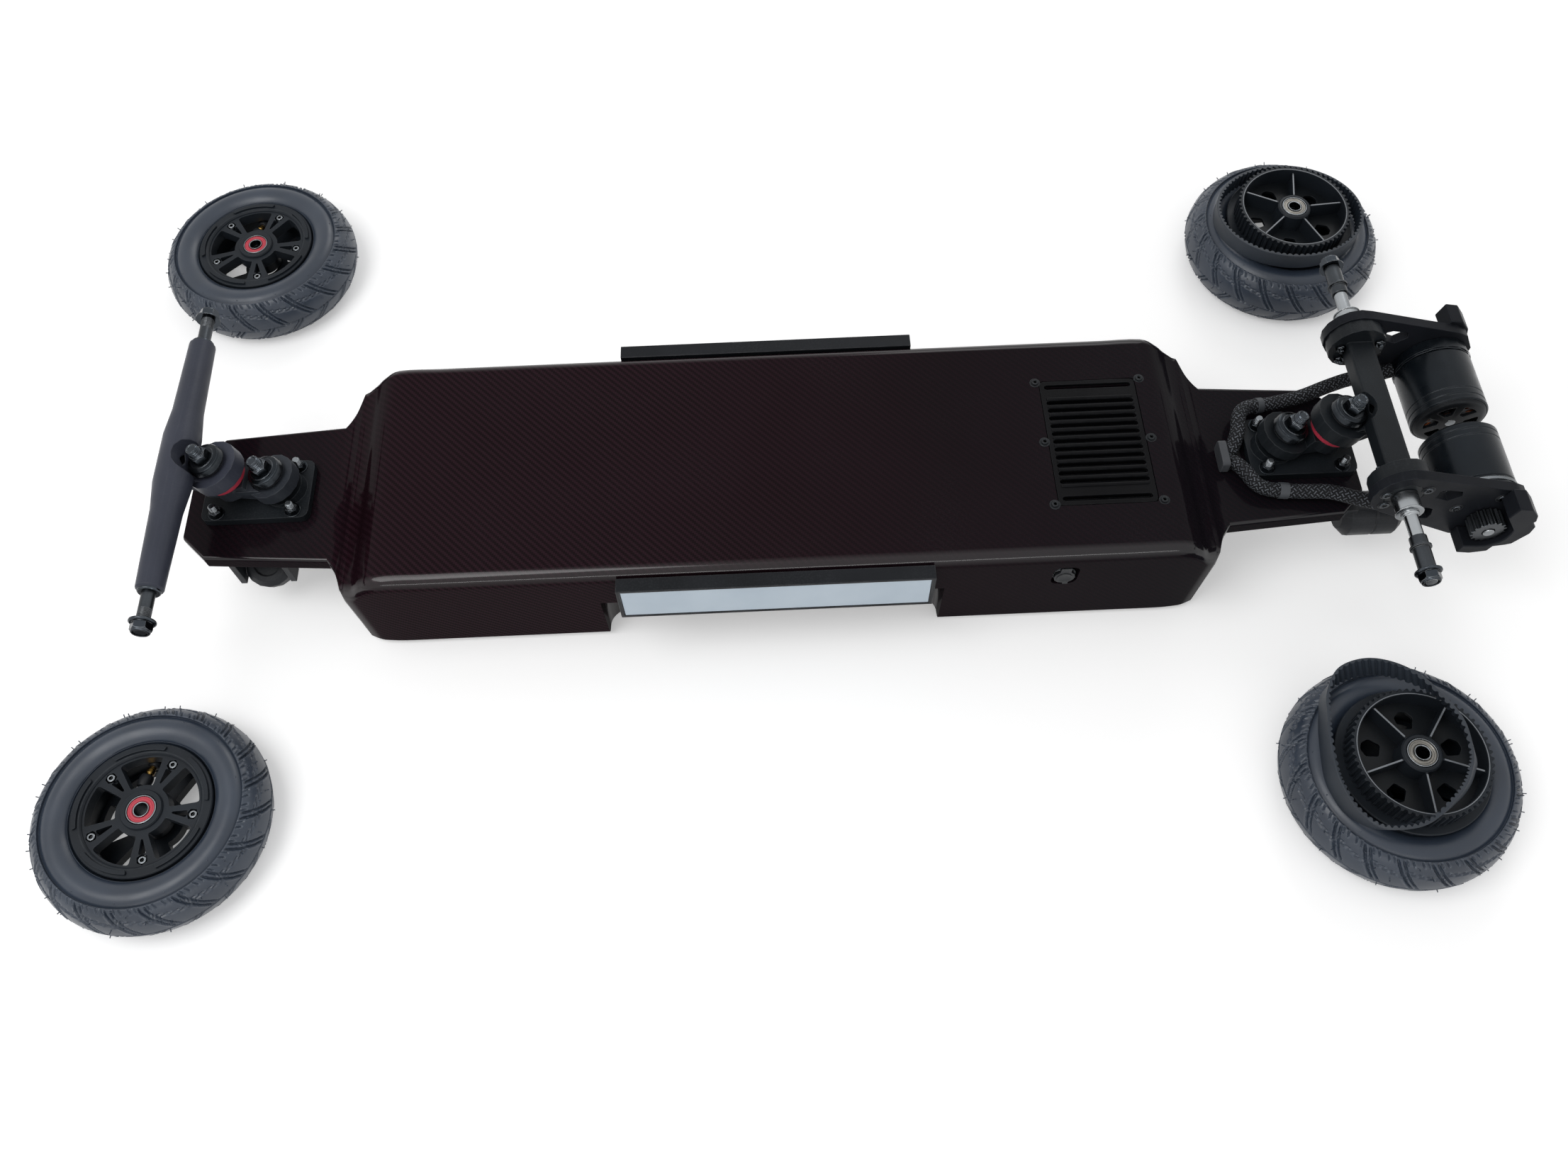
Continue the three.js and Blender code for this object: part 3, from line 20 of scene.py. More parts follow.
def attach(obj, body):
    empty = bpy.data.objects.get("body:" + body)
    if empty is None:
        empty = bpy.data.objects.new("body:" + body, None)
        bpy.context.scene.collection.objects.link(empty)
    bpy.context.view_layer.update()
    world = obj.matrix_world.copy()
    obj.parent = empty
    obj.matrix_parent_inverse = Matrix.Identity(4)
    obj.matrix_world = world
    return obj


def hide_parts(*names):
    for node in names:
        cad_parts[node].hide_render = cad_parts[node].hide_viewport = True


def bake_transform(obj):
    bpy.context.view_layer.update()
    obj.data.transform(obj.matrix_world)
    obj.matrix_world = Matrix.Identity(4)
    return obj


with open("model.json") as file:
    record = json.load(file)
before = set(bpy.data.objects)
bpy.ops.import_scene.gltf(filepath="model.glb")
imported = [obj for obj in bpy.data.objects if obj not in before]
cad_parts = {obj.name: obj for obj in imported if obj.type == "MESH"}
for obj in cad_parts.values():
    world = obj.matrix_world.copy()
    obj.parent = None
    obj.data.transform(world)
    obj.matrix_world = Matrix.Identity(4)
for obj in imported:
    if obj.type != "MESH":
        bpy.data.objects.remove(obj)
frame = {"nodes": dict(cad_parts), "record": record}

logging.basicConfig(level=logging.INFO, format="%(name)s: %(message)s")
LOG = logging.getLogger("mountainboard")

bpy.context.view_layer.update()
MM = 0.001
TURN = 2 * math.pi
SMOOTH = 32.0

Rgb = tuple[float, float, float]
Socket = bpy.types.NodeSocket
Value = Socket | float | Rgb
Piece = bpy.types.Object
Point = Sequence[float]
Outline = Sequence[Point]


class Where(Enum):
    """A part of the board, by the sign of one coordinate."""

    @property
    def word(self) -> str:
        """Return the word that stands for it in the names of pieces."""
        return self.name.lower()


class Side(Where):
    """The board's long sides, by the sign of Y."""

    NEAR = -1.0
    FAR = 1.0


class End(Where):
    """The board's ends, by the sign of X."""

    FRONT = -1.0
    REAR = 1.0


def rgb(code: str) -> Rgb:
    """Turn a six-digit colour code into the linear colour that shaders use.

    Args:
        code: Red, green and blue as two hexadecimal digits each.

    Returns:
        The colour in linear light.
    """
    parts = [int(code[i:i + 2], 16) / 255 for i in (0, 2, 4)]
    return tuple(c / 12.92 if c <= 0.04045 else ((c + 0.055) / 1.055) ** 2.4 for c in parts)


class Graph:
    """Adds and links the nodes of one node tree."""

    def __init__(self, tree: bpy.types.NodeTree) -> None:
        """Start with an empty tree."""
        self.tree = tree
        tree.nodes.clear()

    def add(self, kind: str, inputs: dict | None = None, **settings: object) -> bpy.types.Node:
        """Place a shader node.

        Args:
            kind: The node's class name without its ShaderNode prefix.
            inputs: Values or sockets for the node's inputs, by name or number.
            settings: Properties of the node itself.

        Returns:
            The new node.
        """
        node = self.tree.nodes.new("ShaderNode" + kind)
        for name, setting in settings.items():
            setattr(node, name, setting)
        for key, value in (inputs or {}).items():
            self.feed(node.inputs[key], value)
        return node

    def feed(self, socket: Socket, value: Value) -> None:
        """Give an input a constant or link it to an output.

        Args:
            socket: The input.
            value: A constant or an output socket.
        """
        if isinstance(value, bpy.types.NodeSocket):
            self.tree.links.new(value, socket)
        elif socket.type == "RGBA":
            socket.default_value = (*value, 1)
        else:
            socket.default_value = value

    def math(self, operation: str, first: Value, second: Value = 0.0, clamp: bool = False) -> Socket:
        """Return the result of one arithmetic step on two values."""
        node = self.add("Math", {0: first, 1: second}, operation=operation, use_clamp=clamp)
        return node.outputs[0]

    def mix(self, factor: Value, first: Value, second: Value) -> Socket:
        """Return the colour that lies between two others by a factor."""
        return self.add("Mix", {0: factor, 6: first, 7: second}, data_type="RGBA").outputs[2]

    def pick(self, factor: Value, first: Value, second: Value) -> Socket:
        """Return the first of two numbers where a factor is 0 and the second where it is 1."""
        return self.add("Mix", {0: factor, 2: first, 3: second}).outputs[0]

    def spread(self, value: Value, low: float, high: float, to_low: float = 0.0,
               to_high: float = 1.0) -> Socket:
        """Return a value mapped from one range to another and kept inside it."""
        return self.add("MapRange", {0: value, 1: low, 2: high, 3: to_low, 4: to_high}).outputs[0]

    def noise(self, place: Value, scale: float, detail: float = 2.0) -> Socket:
        """Return soft noise at a scale in waves per metre."""
        return self.add("TexNoise", {"Vector": place, "Scale": scale, "Detail": detail}).outputs[0]

    def axes(self, value: Value) -> bpy.types.NodeOutputs:
        """Return the X, Y and Z of a vector."""
        return self.add("SeparateXYZ", {0: value}).outputs

    def normal(self, name: str = "Normal") -> Socket:
        """Return the surface's normal."""
        return self.add("NewGeometry").outputs[name]

    def apply(self, effect: "Effect", **inputs: Value) -> bpy.types.NodeOutputs:
        """Place an effect's node group.

        Args:
            effect: The effect.
            inputs: The value of each of the group's inputs.

        Returns:
            The group's outputs.
        """
        node = self.add("Group", node_tree=effect.group())
        for key, value in inputs.items():
            self.feed(node.inputs[key], value)
        return node.outputs


class Effect:
    """A surface effect that several finishes share, kept as one node group."""

    name: str
    inputs: dict[str, str]
    outputs: dict[str, str]
    built: dict[str, bpy.types.NodeTree] = {}

    def fill(self, graph: Graph, entry: bpy.types.NodeOutputs) -> dict[str, Value]:
        """Build the inside of the group.

        Args:
            graph: The group's graph.
            entry: The group's inputs.

        Returns:
            The value of each output.
        """
        raise NotImplementedError

    def group(self) -> bpy.types.NodeTree:
        """Build the node group once.

        Returns:
            The node group.
        """
        if self.name not in self.built:
            tree = bpy.data.node_groups.new(self.name, "ShaderNodeTree")
            for direction, sockets in (("INPUT", self.inputs), ("OUTPUT", self.outputs)):
                for socket, kind in sockets.items():
                    tree.interface.new_socket(socket, in_out=direction, socket_type="NodeSocket" + kind)
            graph = Graph(tree)
            entry = tree.nodes.new("NodeGroupInput")
            leave = tree.nodes.new("NodeGroupOutput")
            for socket, value in self.fill(graph, entry.outputs).items():
                graph.feed(leave.inputs[socket], value)
            self.built[self.name] = tree
        return self.built[self.name]


class EdgeWear(Effect):
    """Mask of hard edges, broken up by noise, that lightens them as partly real wear and partly painted
    highlight.
    """

    name = "edge_wear"
    inputs = {"Place": "Vector", "Width": "Float"}
    outputs = {"Mask": "Float"}
    untouched, bare = 0.99, 0.86
    patches = 160.0

    def fill(self, graph: Graph, entry: bpy.types.NodeOutputs) -> dict[str, Value]:
        """Compare the true normal with one that is rounded over a width.

        Args:
            graph: The group's graph.
            entry: The group's inputs.

        Returns:
            The value of each output.
        """
        rounded_normal = graph.add("Bevel", {"Radius": entry["Width"]}, samples=4).outputs[0]
        dot = graph.add("VectorMath", {0: rounded_normal, 1: graph.normal("True Normal")},
                        operation="DOT_PRODUCT").outputs["Value"]
        edge = graph.spread(dot, self.untouched, self.bare)
        patches = graph.noise(entry["Place"], self.patches, 4.0)
        return {"Mask": graph.math("MULTIPLY", edge, graph.spread(patches, 0.38, 0.62, 0.45, 1.0))}


class Dust(Effect):
    """Mask of fine dust that settles on faces that look up."""

    name = "settled_dust"
    inputs = {"Place": "Vector"}
    outputs = {"Mask": "Float"}
    fine, broad = 700.0, 14.0

    def fill(self, graph: Graph, entry: bpy.types.NodeOutputs) -> dict[str, Value]:
        """Take the upward share of the normal times two scales of noise.

        Args:
            graph: The group's graph.
            entry: The group's inputs.

        Returns:
            The value of each output.
        """
        upward = graph.axes(graph.normal())["Z"]
        fine = graph.spread(graph.noise(entry["Place"], self.fine, 4.0), 0.45, 0.75)
        broad = graph.spread(graph.noise(entry["Place"], self.broad, 3.0), 0.35, 0.7)
        flecks = graph.math("MULTIPLY", fine, broad)
        return {"Mask": graph.math("MULTIPLY", flecks, graph.spread(upward, -0.2, 0.9, 0.25, 1.0))}


class Twill(Effect):
    """Two-over-two twill of flat tows, seen along the face's main axis."""

    name = "twill"
    inputs = {"Place": "Vector", "Tow": "Float"}
    outputs = {"Lifted": "Float", "Height": "Float"}
    steep = 0.8
    repeat, over = 4.0, 1.5
    crown, strands = 0.9, 0.05

    def fill(self, graph: Graph, entry: bpy.types.NodeOutputs) -> dict[str, Value]:
        """Lay the weave on the plane that the normal is nearest to.

        Args:
            graph: The group's graph.
            entry: The group's inputs.

        Returns:
            The value of each output.
        """
        place = graph.axes(entry["Place"])
        sideways = graph.math("ABSOLUTE", graph.axes(graph.normal())["Y"])
        wall = graph.math("GREATER_THAN", sideways, self.steep)
        first = graph.math("DIVIDE", place["X"], entry["Tow"])
        second = graph.math("DIVIDE", graph.pick(wall, place["Y"], place["Z"]), entry["Tow"])
        cell = graph.math("ADD", graph.math("FLOOR", first), graph.math("FLOOR", second))
        lifted = graph.math("LESS_THAN", graph.math("FLOORED_MODULO", cell, self.repeat), self.over)
        across = graph.pick(lifted, graph.math("PINGPONG", first, 0.5), graph.math("PINGPONG", second, 0.5))
        threads = graph.math("SINE", graph.math("MULTIPLY", graph.pick(lifted, first, second), 44.0))
        crown = graph.math("MULTIPLY", graph.spread(across, 0.0, 0.2), self.crown)
        height = graph.math("ADD", crown, graph.math("MULTIPLY", threads, self.strands))
        return {"Lifted": lifted, "Height": height}


class Lacquer(Effect):
    """Clear coat that is thin on flat tops and walls and thick on rounded edges."""

    name = "lacquer"
    inputs = {"Most": "Float"}
    outputs = {"Weight": "Float"}
    on_top, on_wall = 0.14, 0.1

    def fill(self, graph: Graph, entry: bpy.types.NodeOutputs) -> dict[str, Value]:
        """Map the sideways share of the normal to the coat's weight.

        Args:
            graph: The group's graph.
            entry: The group's inputs.

        Returns:
            The value of each output.
        """
        across = graph.math("ABSOLUTE", graph.axes(graph.normal())["Y"])
        rise = graph.spread(across, 0.05, 0.4, self.on_top, 1.0)
        fall = graph.spread(across, 0.8, 0.97, 1.0, self.on_wall)
        return {"Weight": graph.math("MULTIPLY", graph.math("MINIMUM", rise, fall), entry["Most"])}


class Braid(Effect):
    """Crossing strands of a sleeve, laid along the surface's own length and girth."""

    name = "braided_sleeve"
    inputs = {"Strand": "Float"}
    outputs = {"Tracer": "Float", "Height": "Float"}
    tracer_every = 3.0
    seam = 0.14

    def fill(self, graph: Graph, entry: bpy.types.NodeOutputs) -> dict[str, Value]:
        """Cross two families of slanted strands and let each pass over the other.

        Args:
            graph: The group's graph.
            entry: The group's inputs.

        Returns:
            The value of each output.
        """
        lay = graph.axes(graph.add("UVMap").outputs[0])
        along = graph.math("DIVIDE", lay["X"], entry["Strand"])
        girth = graph.math("DIVIDE", lay["Y"], entry["Strand"])
        right = graph.math("ADD", along, girth)
        left = graph.math("SUBTRACT", along, girth)
        right_cell = graph.math("FLOOR", right)
        left_cell = graph.math("FLOOR", left)
        cell = graph.math("FLOORED_MODULO", graph.math("ADD", right_cell, left_cell), 2.0)
        over = graph.math("LESS_THAN", cell, 0.5)
        across = graph.pick(over, graph.math("PINGPONG", right, 0.5), graph.math("PINGPONG", left, 0.5))
        shown = graph.math("FLOORED_MODULO", graph.pick(over, left_cell, right_cell), self.tracer_every)
        tracer = graph.math("LESS_THAN", shown, 0.5)
        inner = graph.math("GREATER_THAN", across, self.seam)
        return {"Tracer": graph.math("MULTIPLY", tracer, inner), "Height": graph.spread(across, 0.0, 0.4)}


DUST_COLOR = rgb("84888d")
# Colour that metal is darkened towards where it turns away from the camera: painted shade.
METAL_PAINTED_SHADE = rgb("16181b")


@dataclass(frozen=True)
class Finish:
    """A surface with drifting colour, fine grain, dust, edges that are partly worn and partly painted
    highlights, and on metal painted shade towards its outline.

    Attributes:
        name: The material's name.
        color: Main colour.
        drift: Colour that the main one drifts to in soft patches.
        worn: Colour of rubbed edges, which are partly real wear and partly painted highlight.
        roughness: Middle roughness.
        metallic: Share of metal.
        grain: Grains per metre.
        grain_depth: Depth of the grain in metres.
        wear: Strength of the rubbed edges, partly real wear and partly painted highlight.
        wear_width: Width of the rubbed and highlighted edges in metres.
        dust: Strength of the dust.
        gloss: Level of the mirror-like share of a surface that isn't metal.
        coat: Weight of a clear coat.
        coat_roughness: Roughness of the clear coat.
        rounding: Radius that hard edges appear to have, in metres.
    """

    name: str
    color: str
    drift: str
    worn: str | Rgb = (0.3, 0.3, 0.31)
    roughness: float = 0.45
    metallic: float = 0.0
    grain: float = 2500.0
    grain_depth: float = 0.00003
    wear: float = 0.35
    wear_width: float = 0.0006
    dust: float = 0.12
    gloss: float = 0.5
    coat: float = 0.0
    coat_roughness: float = 0.06
    rounding: float = 0.0005

    def surface(self, graph: Graph, place: Socket) -> tuple[Value, Value]:
        """Return the colour before wear and dust, and the height of the fine relief."""
        patches = graph.spread(graph.noise(place, 22.0, 3.0), 0.3, 0.7)
        return graph.mix(patches, rgb(self.color), rgb(self.drift)), graph.noise(place, self.grain, 3.0)

    def coat_weight(self, graph: Graph) -> Value:
        """Return the weight of the clear coat."""
        return self.coat

    def material(self) -> bpy.types.Material:
        """Build this finish's material the first time that it is asked for.

        Returns:
            The material.
        """
        found = bpy.data.materials.get(self.name)
        if found:
            return found
        material = bpy.data.materials.new(self.name)
        material.use_nodes = True
        graph = Graph(material.node_tree)
        place = graph.add("TexCoord").outputs["Object"]
        color, height = self.surface(graph, place)
        # Lightened hard edges: partly real wear, partly painted highlight.
        wear = graph.apply(EdgeWear(), Place=place, Width=self.wear_width)["Mask"]
        wear = graph.math("MULTIPLY", wear, self.wear)
        dust = graph.math("MULTIPLY", graph.apply(Dust(), Place=place)["Mask"], self.dust)
        worn = rgb(self.worn) if isinstance(self.worn, str) else self.worn
        color = graph.mix(dust, graph.mix(wear, color, worn), DUST_COLOR)
        # Metal is painted darker towards its outline, a painted shade that makes round parts look round.
        if self.metallic > 0.5:
            facing = graph.add("LayerWeight", {"Blend": 0.5}).outputs["Facing"]
            color = graph.mix(graph.spread(facing, 0.2, 0.85, 0.0, 0.75), color, METAL_PAINTED_SHADE)
        scuffs = graph.spread(graph.noise(place, 60.0, 5.0), 0.3, 0.7, -0.06, 0.08)
        roughness = graph.math("ADD", graph.math("ADD", scuffs, self.roughness),
                               graph.math("MULTIPLY", dust, 0.5), clamp=True)
        rounded_normal = graph.add("Bevel", {"Radius": self.rounding}, samples=4).outputs[0]
        bump = graph.add("Bump", {"Strength": 1.0, "Distance": self.grain_depth, "Height": height,
                                  "Normal": rounded_normal})
        shader = graph.add("BsdfPrincipled", {
            "Base Color": color, "Roughness": roughness, "Metallic": self.metallic,
            "Specular IOR Level": self.gloss, "Coat Weight": self.coat_weight(graph),
            "Coat Roughness": self.coat_roughness, "Normal": bump.outputs[0],
        })
        graph.add("OutputMaterial", {"Surface": shader.outputs[0]})
        return material


@dataclass(frozen=True)
class Carbon(Finish):
    """Woven carbon under a clear coat."""

    tow: float = 0.0015
    # The lifted colour is a painted sheen on the lifted tows.
    lifted: str = "25141b"
    # Painted shade that darkens the hull towards the tail and at the nose tip.
    smoked: str = "121115"

    def surface(self, graph: Graph, place: Socket) -> tuple[Value, Value]:
        """Return the colour and relief of a weave whose painted sheen shows least at the tail, on a base with
        painted shade towards the tail and at the nose tip.

        Args:
            graph: The material's graph.
            place: The place on the object.

        Returns:
            The colour and the height.
        """
        weave = graph.apply(Twill(), Place=place, Tow=self.tow)
        patches = graph.spread(graph.noise(place, 5.0, 2.0), 0.35, 0.65)
        base = graph.mix(patches, rgb(self.color), rgb(self.drift))
        along = graph.axes(place)["X"]
        # The lifted tows' painted sheen fades towards the tail and at the nose tip.
        shown = graph.math("MULTIPLY", weave["Lifted"], graph.spread(along, -0.1, 0.14, 1.0, 0.2))
        shown = graph.math("MULTIPLY", shown, graph.spread(along, -0.37, -0.33, 0.3, 1.0))
        # Painted shade: the base grows darker towards the tail and at the nose tip.
        painted_shade_share = graph.math("MAXIMUM", graph.spread(along, 0.0, 0.38),
                           graph.spread(along, -0.36, -0.33, 0.55, 0.0))
        base = graph.mix(painted_shade_share, base, rgb(self.smoked))
        normal = graph.axes(graph.normal())
        flat = graph.math("MAXIMUM", graph.spread(normal["Z"], 0.7, 0.95),
                          graph.spread(graph.math("ABSOLUTE", normal["Y"]), 0.85, 0.97))
        return graph.mix(graph.math("MULTIPLY", shown, flat), base, rgb(self.lifted)), weave["Height"]

    def coat_weight(self, graph: Graph) -> Value:
        """Return a coat that thickens on rounded edges."""
        return graph.apply(Lacquer(), Most=self.coat)["Weight"]


@dataclass(frozen=True)
class Sleeving(Finish):
    """Sleeve of crossing strands."""

    diameter: float = 0.0116
    strands: int = 24
    light: str = "63676d"

    def surface(self, graph: Graph, place: Socket) -> tuple[Value, Value]:
        """Return the strands' colour and relief.

        Args:
            graph: The material's graph.
            place: The place on the object.

        Returns:
            The colour and the height.
        """
        sleeve = graph.apply(Braid(), Strand=math.pi * self.diameter / self.strands)
        flecks = graph.spread(graph.noise(place, 160.0, 2.0), 0.35, 0.55, 0.35, 1.0)
        pale = graph.math("MULTIPLY", sleeve["Tracer"], flecks)
        return graph.mix(pale, rgb(self.color), rgb(self.light)), sleeve["Height"]


@dataclass(frozen=True)
class Metal(Finish):
    """Bare, oiled or plated metal."""

    roughness: float = 0.2
    metallic: float = 1.0
    grain_depth: float = 0.00001
    wear: float = 0.5
    dust: float = 0.05


@dataclass(frozen=True)
class Paint(Finish):
    """Satin paint or an anodised skin on metal."""

    roughness: float = 0.42
    grain: float = 1500.0
    grain_depth: float = 0.00004
    wear: float = 0.3
    dust: float = 0.05
    gloss: float = 0.2


@dataclass(frozen=True)
class Moulding(Finish):
    """Moulded plastic or rubber."""

    grain: float = 1600.0
    grain_depth: float = 0.00005
    dust: float = 0.06
    gloss: float = 0.25


HULL_CARBON = Carbon("clear_coated_carbon", "14090d", "190c12", "4a4446", 0.3, grain_depth=0.0001, wear=0.15,
                     dust=0.02, gloss=0.0, coat=0.8, coat_roughness=0.12, rounding=0.0012)
GRIP = Finish("grip_paper", "1d1d1e", "262627", roughness=0.95, grain=1800.0, grain_depth=0.0004, dust=0.25)
CABLE_SLEEVE = Sleeving("braided_cable_sleeve", "0e0f12", "15161a", roughness=0.7, grain_depth=0.0002,
                        wear=0.0, dust=0.04, gloss=0.2, rounding=0.0002)

ANODISED = Paint("black_anodised_metal", "17191c", "1e2124", "8a8e92", 0.38, 0.3, 3500.0, 0.00002,
                 gloss=0.15)
VENT_PAINT = Paint("vent_paint", "09090b", "0f0f11", "55585b", grain=3000.0, grain_depth=0.00003, dust=0.02,
                   gloss=0.06)
BAR_PAINT = Paint("light_bar_paint", "131518", "1a1c20", roughness=0.35, metallic=0.2, grain=3000.0,
                  grain_depth=0.00002, dust=0.04, gloss=0.15)
TRUCK_PAINT = Paint("satin_black_truck", "14171a", "1b1f23", "6d7276", wear=0.35, dust=0.04, gloss=0.14,
                    rounding=0.0009)
FRONT_PAINT = Paint("dark_grey_truck", "24272d", "2c3036", "7d8185", rounding=0.0009)
BEAM_PAINT = Paint("blue_grey_beam", "2f323c", "383b46", "8d9194", grain=1200.0, wear=0.25, rounding=0.0009)
PLATE_PAINT = Paint("motor_plate_paint", "17191d", "1e2025", "6a6e73", 0.36, grain=2200.0,
                    grain_depth=0.00003, wear=0.35, dust=0.02, gloss=0.05, rounding=0.0007)
MOTOR_PAINT = Paint("motor_can_paint", "12171c", "181e24", "7d8185", 0.28, 0.4, 2600.0, 0.00002, dust=0.02,
                    gloss=0.25)

DARK_CHROME = Metal("dark_chromed_steel", "34393e", "464b51", "c3c6c9", 0.18, wear=0.45, wear_width=0.0004,
                    dust=0.02)
# The washers' pale edge rings are painted highlights as well as wear.
CUP_STEEL = Metal("black_chromed_washers", "1c2024", "252a2f", "9a9fa4", metallic=0.85, wear_width=0.0005,
                  dust=0.02)
PINION_STEEL = Metal("dark_pinion_steel", "3a3e42", "474b4f", "9da1a4", 0.3, 0.9)
AXLE_STEEL = Metal("oiled_axle_steel", "35383c", "45494d", "b0b2b4", 0.3, 0.9, grain_depth=0.00002,
                   dust=0.06)
GREY_STEEL = Metal("grey_steel", "777c80", "85898d", "d8dadb", 0.22, wear=0.6, wear_width=0.0004, dust=0.04)
SHIELD_STEEL = Metal("pressed_steel_shield", "6d6b66", "807d77", "cfcdc8", 0.26, wear_width=0.0004)
BRIGHT_STEEL = Metal("polished_steel", "a6aaad", "94989b", "e5e6e6", wear=0.6, dust=0.06)
COPPER = Metal("enamelled_copper", "8a4a2a", "9c5a34", roughness=0.35, metallic=0.9, grain=3000.0,
               grain_depth=0.00004, wear=0.1, dust=0.12)
BRASS = Metal("brass", "c9a25a", "b8914c", "e8d29a", 0.3, wear=0.35, dust=0.12)

TYRE_RUBBER = Moulding("moulded_tyre_rubber", "262e3a", "303946", "6a7482", 0.34, grain=2200.0, dust=0.02,
                       gloss=0.5)
BELT_RUBBER = Moulding("toothed_belt_rubber", "1e242c", "272e37", "3f4854", 0.5, grain=3000.0, wear=0.2,
                       dust=0.02, gloss=0.4)
# Pale plastic laid on edges as a painted highlight.
PAINTED_HIGHLIGHT_PLASTIC = Moulding("rubbed_rim_edge", "6b7076", "7d8288", roughness=0.4, grain=1800.0,
                          grain_depth=0.00003, dust=0.05, gloss=0.5)
HUB_PLASTIC = Moulding("dark_hub_plastic", "181c21", "20252b", "62666a", 0.4, grain=1800.0,
                       grain_depth=0.00004, wear=0.45, wear_width=0.0005, dust=0.02, gloss=0.16)
# Plastic darker than the hub for the pulley's sunk floor: painted shade.
PAINTED_SHADE_PLASTIC = Moulding("deep_pulley_floor", "0d1013", "15191d", "4a4e52", 0.4, grain=1800.0,
                        grain_depth=0.00004, wear=0.3, dust=0.02, gloss=0.2)
BLACK_PLASTIC = Moulding("black_moulding", "191b1e", "222428")
GLAND_PLASTIC = Moulding("grey_moulding", "3b3d41", "46484c", roughness=0.5)
CUFF = Moulding("shrink_cuff", "3a3d41", "46494d", grain=1200.0, wear=0.1, dust=0.05, gloss=0.3)
BLACK_URETHANE = Moulding("soft_black_bushing", "17181b", "1f2024", roughness=0.5, grain=1500.0,
                          grain_depth=0.00004, dust=0.04, gloss=0.2)
RED_URETHANE = Moulding("soft_red_bushing", "b03347", "a02c3e", grain=1500.0, grain_depth=0.00004, wear=0.1,
                        dust=0.12, gloss=0.3)
RED_SEAL = Moulding("red_bearing_seal", "b02c3e", "bd3a4a", roughness=0.5, grain=1500.0, grain_depth=0.00003,
                    wear=0.1, dust=0.12, gloss=0.5)
MILKY_PLASTIC = Moulding("milky_cover", "b4c2ce", "bdcad5", "ffffff", 0.35, grain=900.0, grain_depth=0.00003,
                         wear=0.1, dust=0.05, gloss=0.3)
SHRINK_WRAP = Finish("shrink_wrapped_cells", "2a4f76", "234467")

NODE_FINISHES: dict[str, Finish] = {
    "deck_shell": HULL_CARBON, "deck_lid": GRIP, "vent_cover": ANODISED, "battery_pack": SHRINK_WRAP,
    "motor_controller": ANODISED, "charge_socket": BRIGHT_STEEL, "charge_cap": BLACK_PLASTIC,
    "cable_gland": BLACK_PLASTIC, "lamp": BLACK_PLASTIC, "light_frame": ANODISED,
    "light_diffuser": MILKY_PLASTIC, "motor_cable": CABLE_SLEEVE, "baseplate": TRUCK_PAINT,
    "inner_kingpin": DARK_CHROME, "outer_kingpin": DARK_CHROME, "inner_bushings": BLACK_URETHANE,
    "outer_bushings": RED_URETHANE, "link": TRUCK_PAINT, "front_hanger": BEAM_PAINT,
    "rear_hanger": TRUCK_PAINT, "axle_nut": DARK_CHROME, "rear_axle": BRIGHT_STEEL,
    "front_axle": DARK_CHROME, "motor_plate": ANODISED, "pinion_guard": TRUCK_PAINT,
    "motor_stator": BRIGHT_STEEL, "motor_rotor": ANODISED, "drive_pinion": DARK_CHROME,
    "tyre": TYRE_RUBBER, "hub": HUB_PLASTIC, "bearings": BRIGHT_STEEL, "belt": BELT_RUBBER,
}


def dress_nodes(nodes: dict[str, Piece]) -> None:
    """Give every CAD node the finish whose name it holds.

    Args:
        nodes: The CAD nodes by name.
    """
    for name, node in nodes.items():
        finish = next(f for key, f in NODE_FINISHES.items() if key in name)
        node.data.materials.clear()
        node.data.materials.append(finish.material())
        LOG.info("%s wears %s", name, finish.name)


@dataclass(frozen=True)
class Bend:
    """Two bodies and two places of a piece that runs between them: the first body before one place, the second
    after another. The piece isn't bent by them; it is only laid in place.
    """

    first: str
    second: str
    start: Point
    end: Point


def angles(count: int) -> list[float]:
    """Return even steps of one turn."""
    return [TURN * i / count for i in range(count)]


def polar(radius: float, angle: float) -> tuple[float, float]:
    """Return the X and Y of a place given by its radius and angle."""
    return radius * math.cos(angle), radius * math.sin(angle)


def spun(angle: float) -> Matrix:
    """Return a turn about the Z axis."""
    return Matrix.Rotation(angle, 4, "Z")


def across(centre: Point, side: Side) -> Matrix:
    """Return a place whose Z runs outwards to one side, from an X and Z on the board's middle line."""
    return Matrix.Translation((centre[0], 0, centre[1])) @ Matrix.Rotation(-side.value * TURN / 4, 4, "X")


def smooth_step(value: float) -> float:
    """Return a value eased between 0 and 1."""
    t = min(1.0, max(0.0, value))
    return t * t * (3 - 2 * t)


def circle(radius: float, sides: int, centre: Point = (0, 0), phase: float = 0.0) -> Outline:
    """Return the corners of a regular outline."""
    corners = [polar(radius, phase + angle) for angle in angles(sides)]
    return [(centre[0] + x, centre[1] + y) for x, y in corners]


def collar(inner: float, outer: float, low: float, high: float, cut: Point) -> Outline:
    """Return the section of a ring whose upper outer edge is cut back by a width and a height."""
    return [(inner, low), (outer, low), (outer, high - cut[1]), (outer - cut[0], high), (inner, high)]


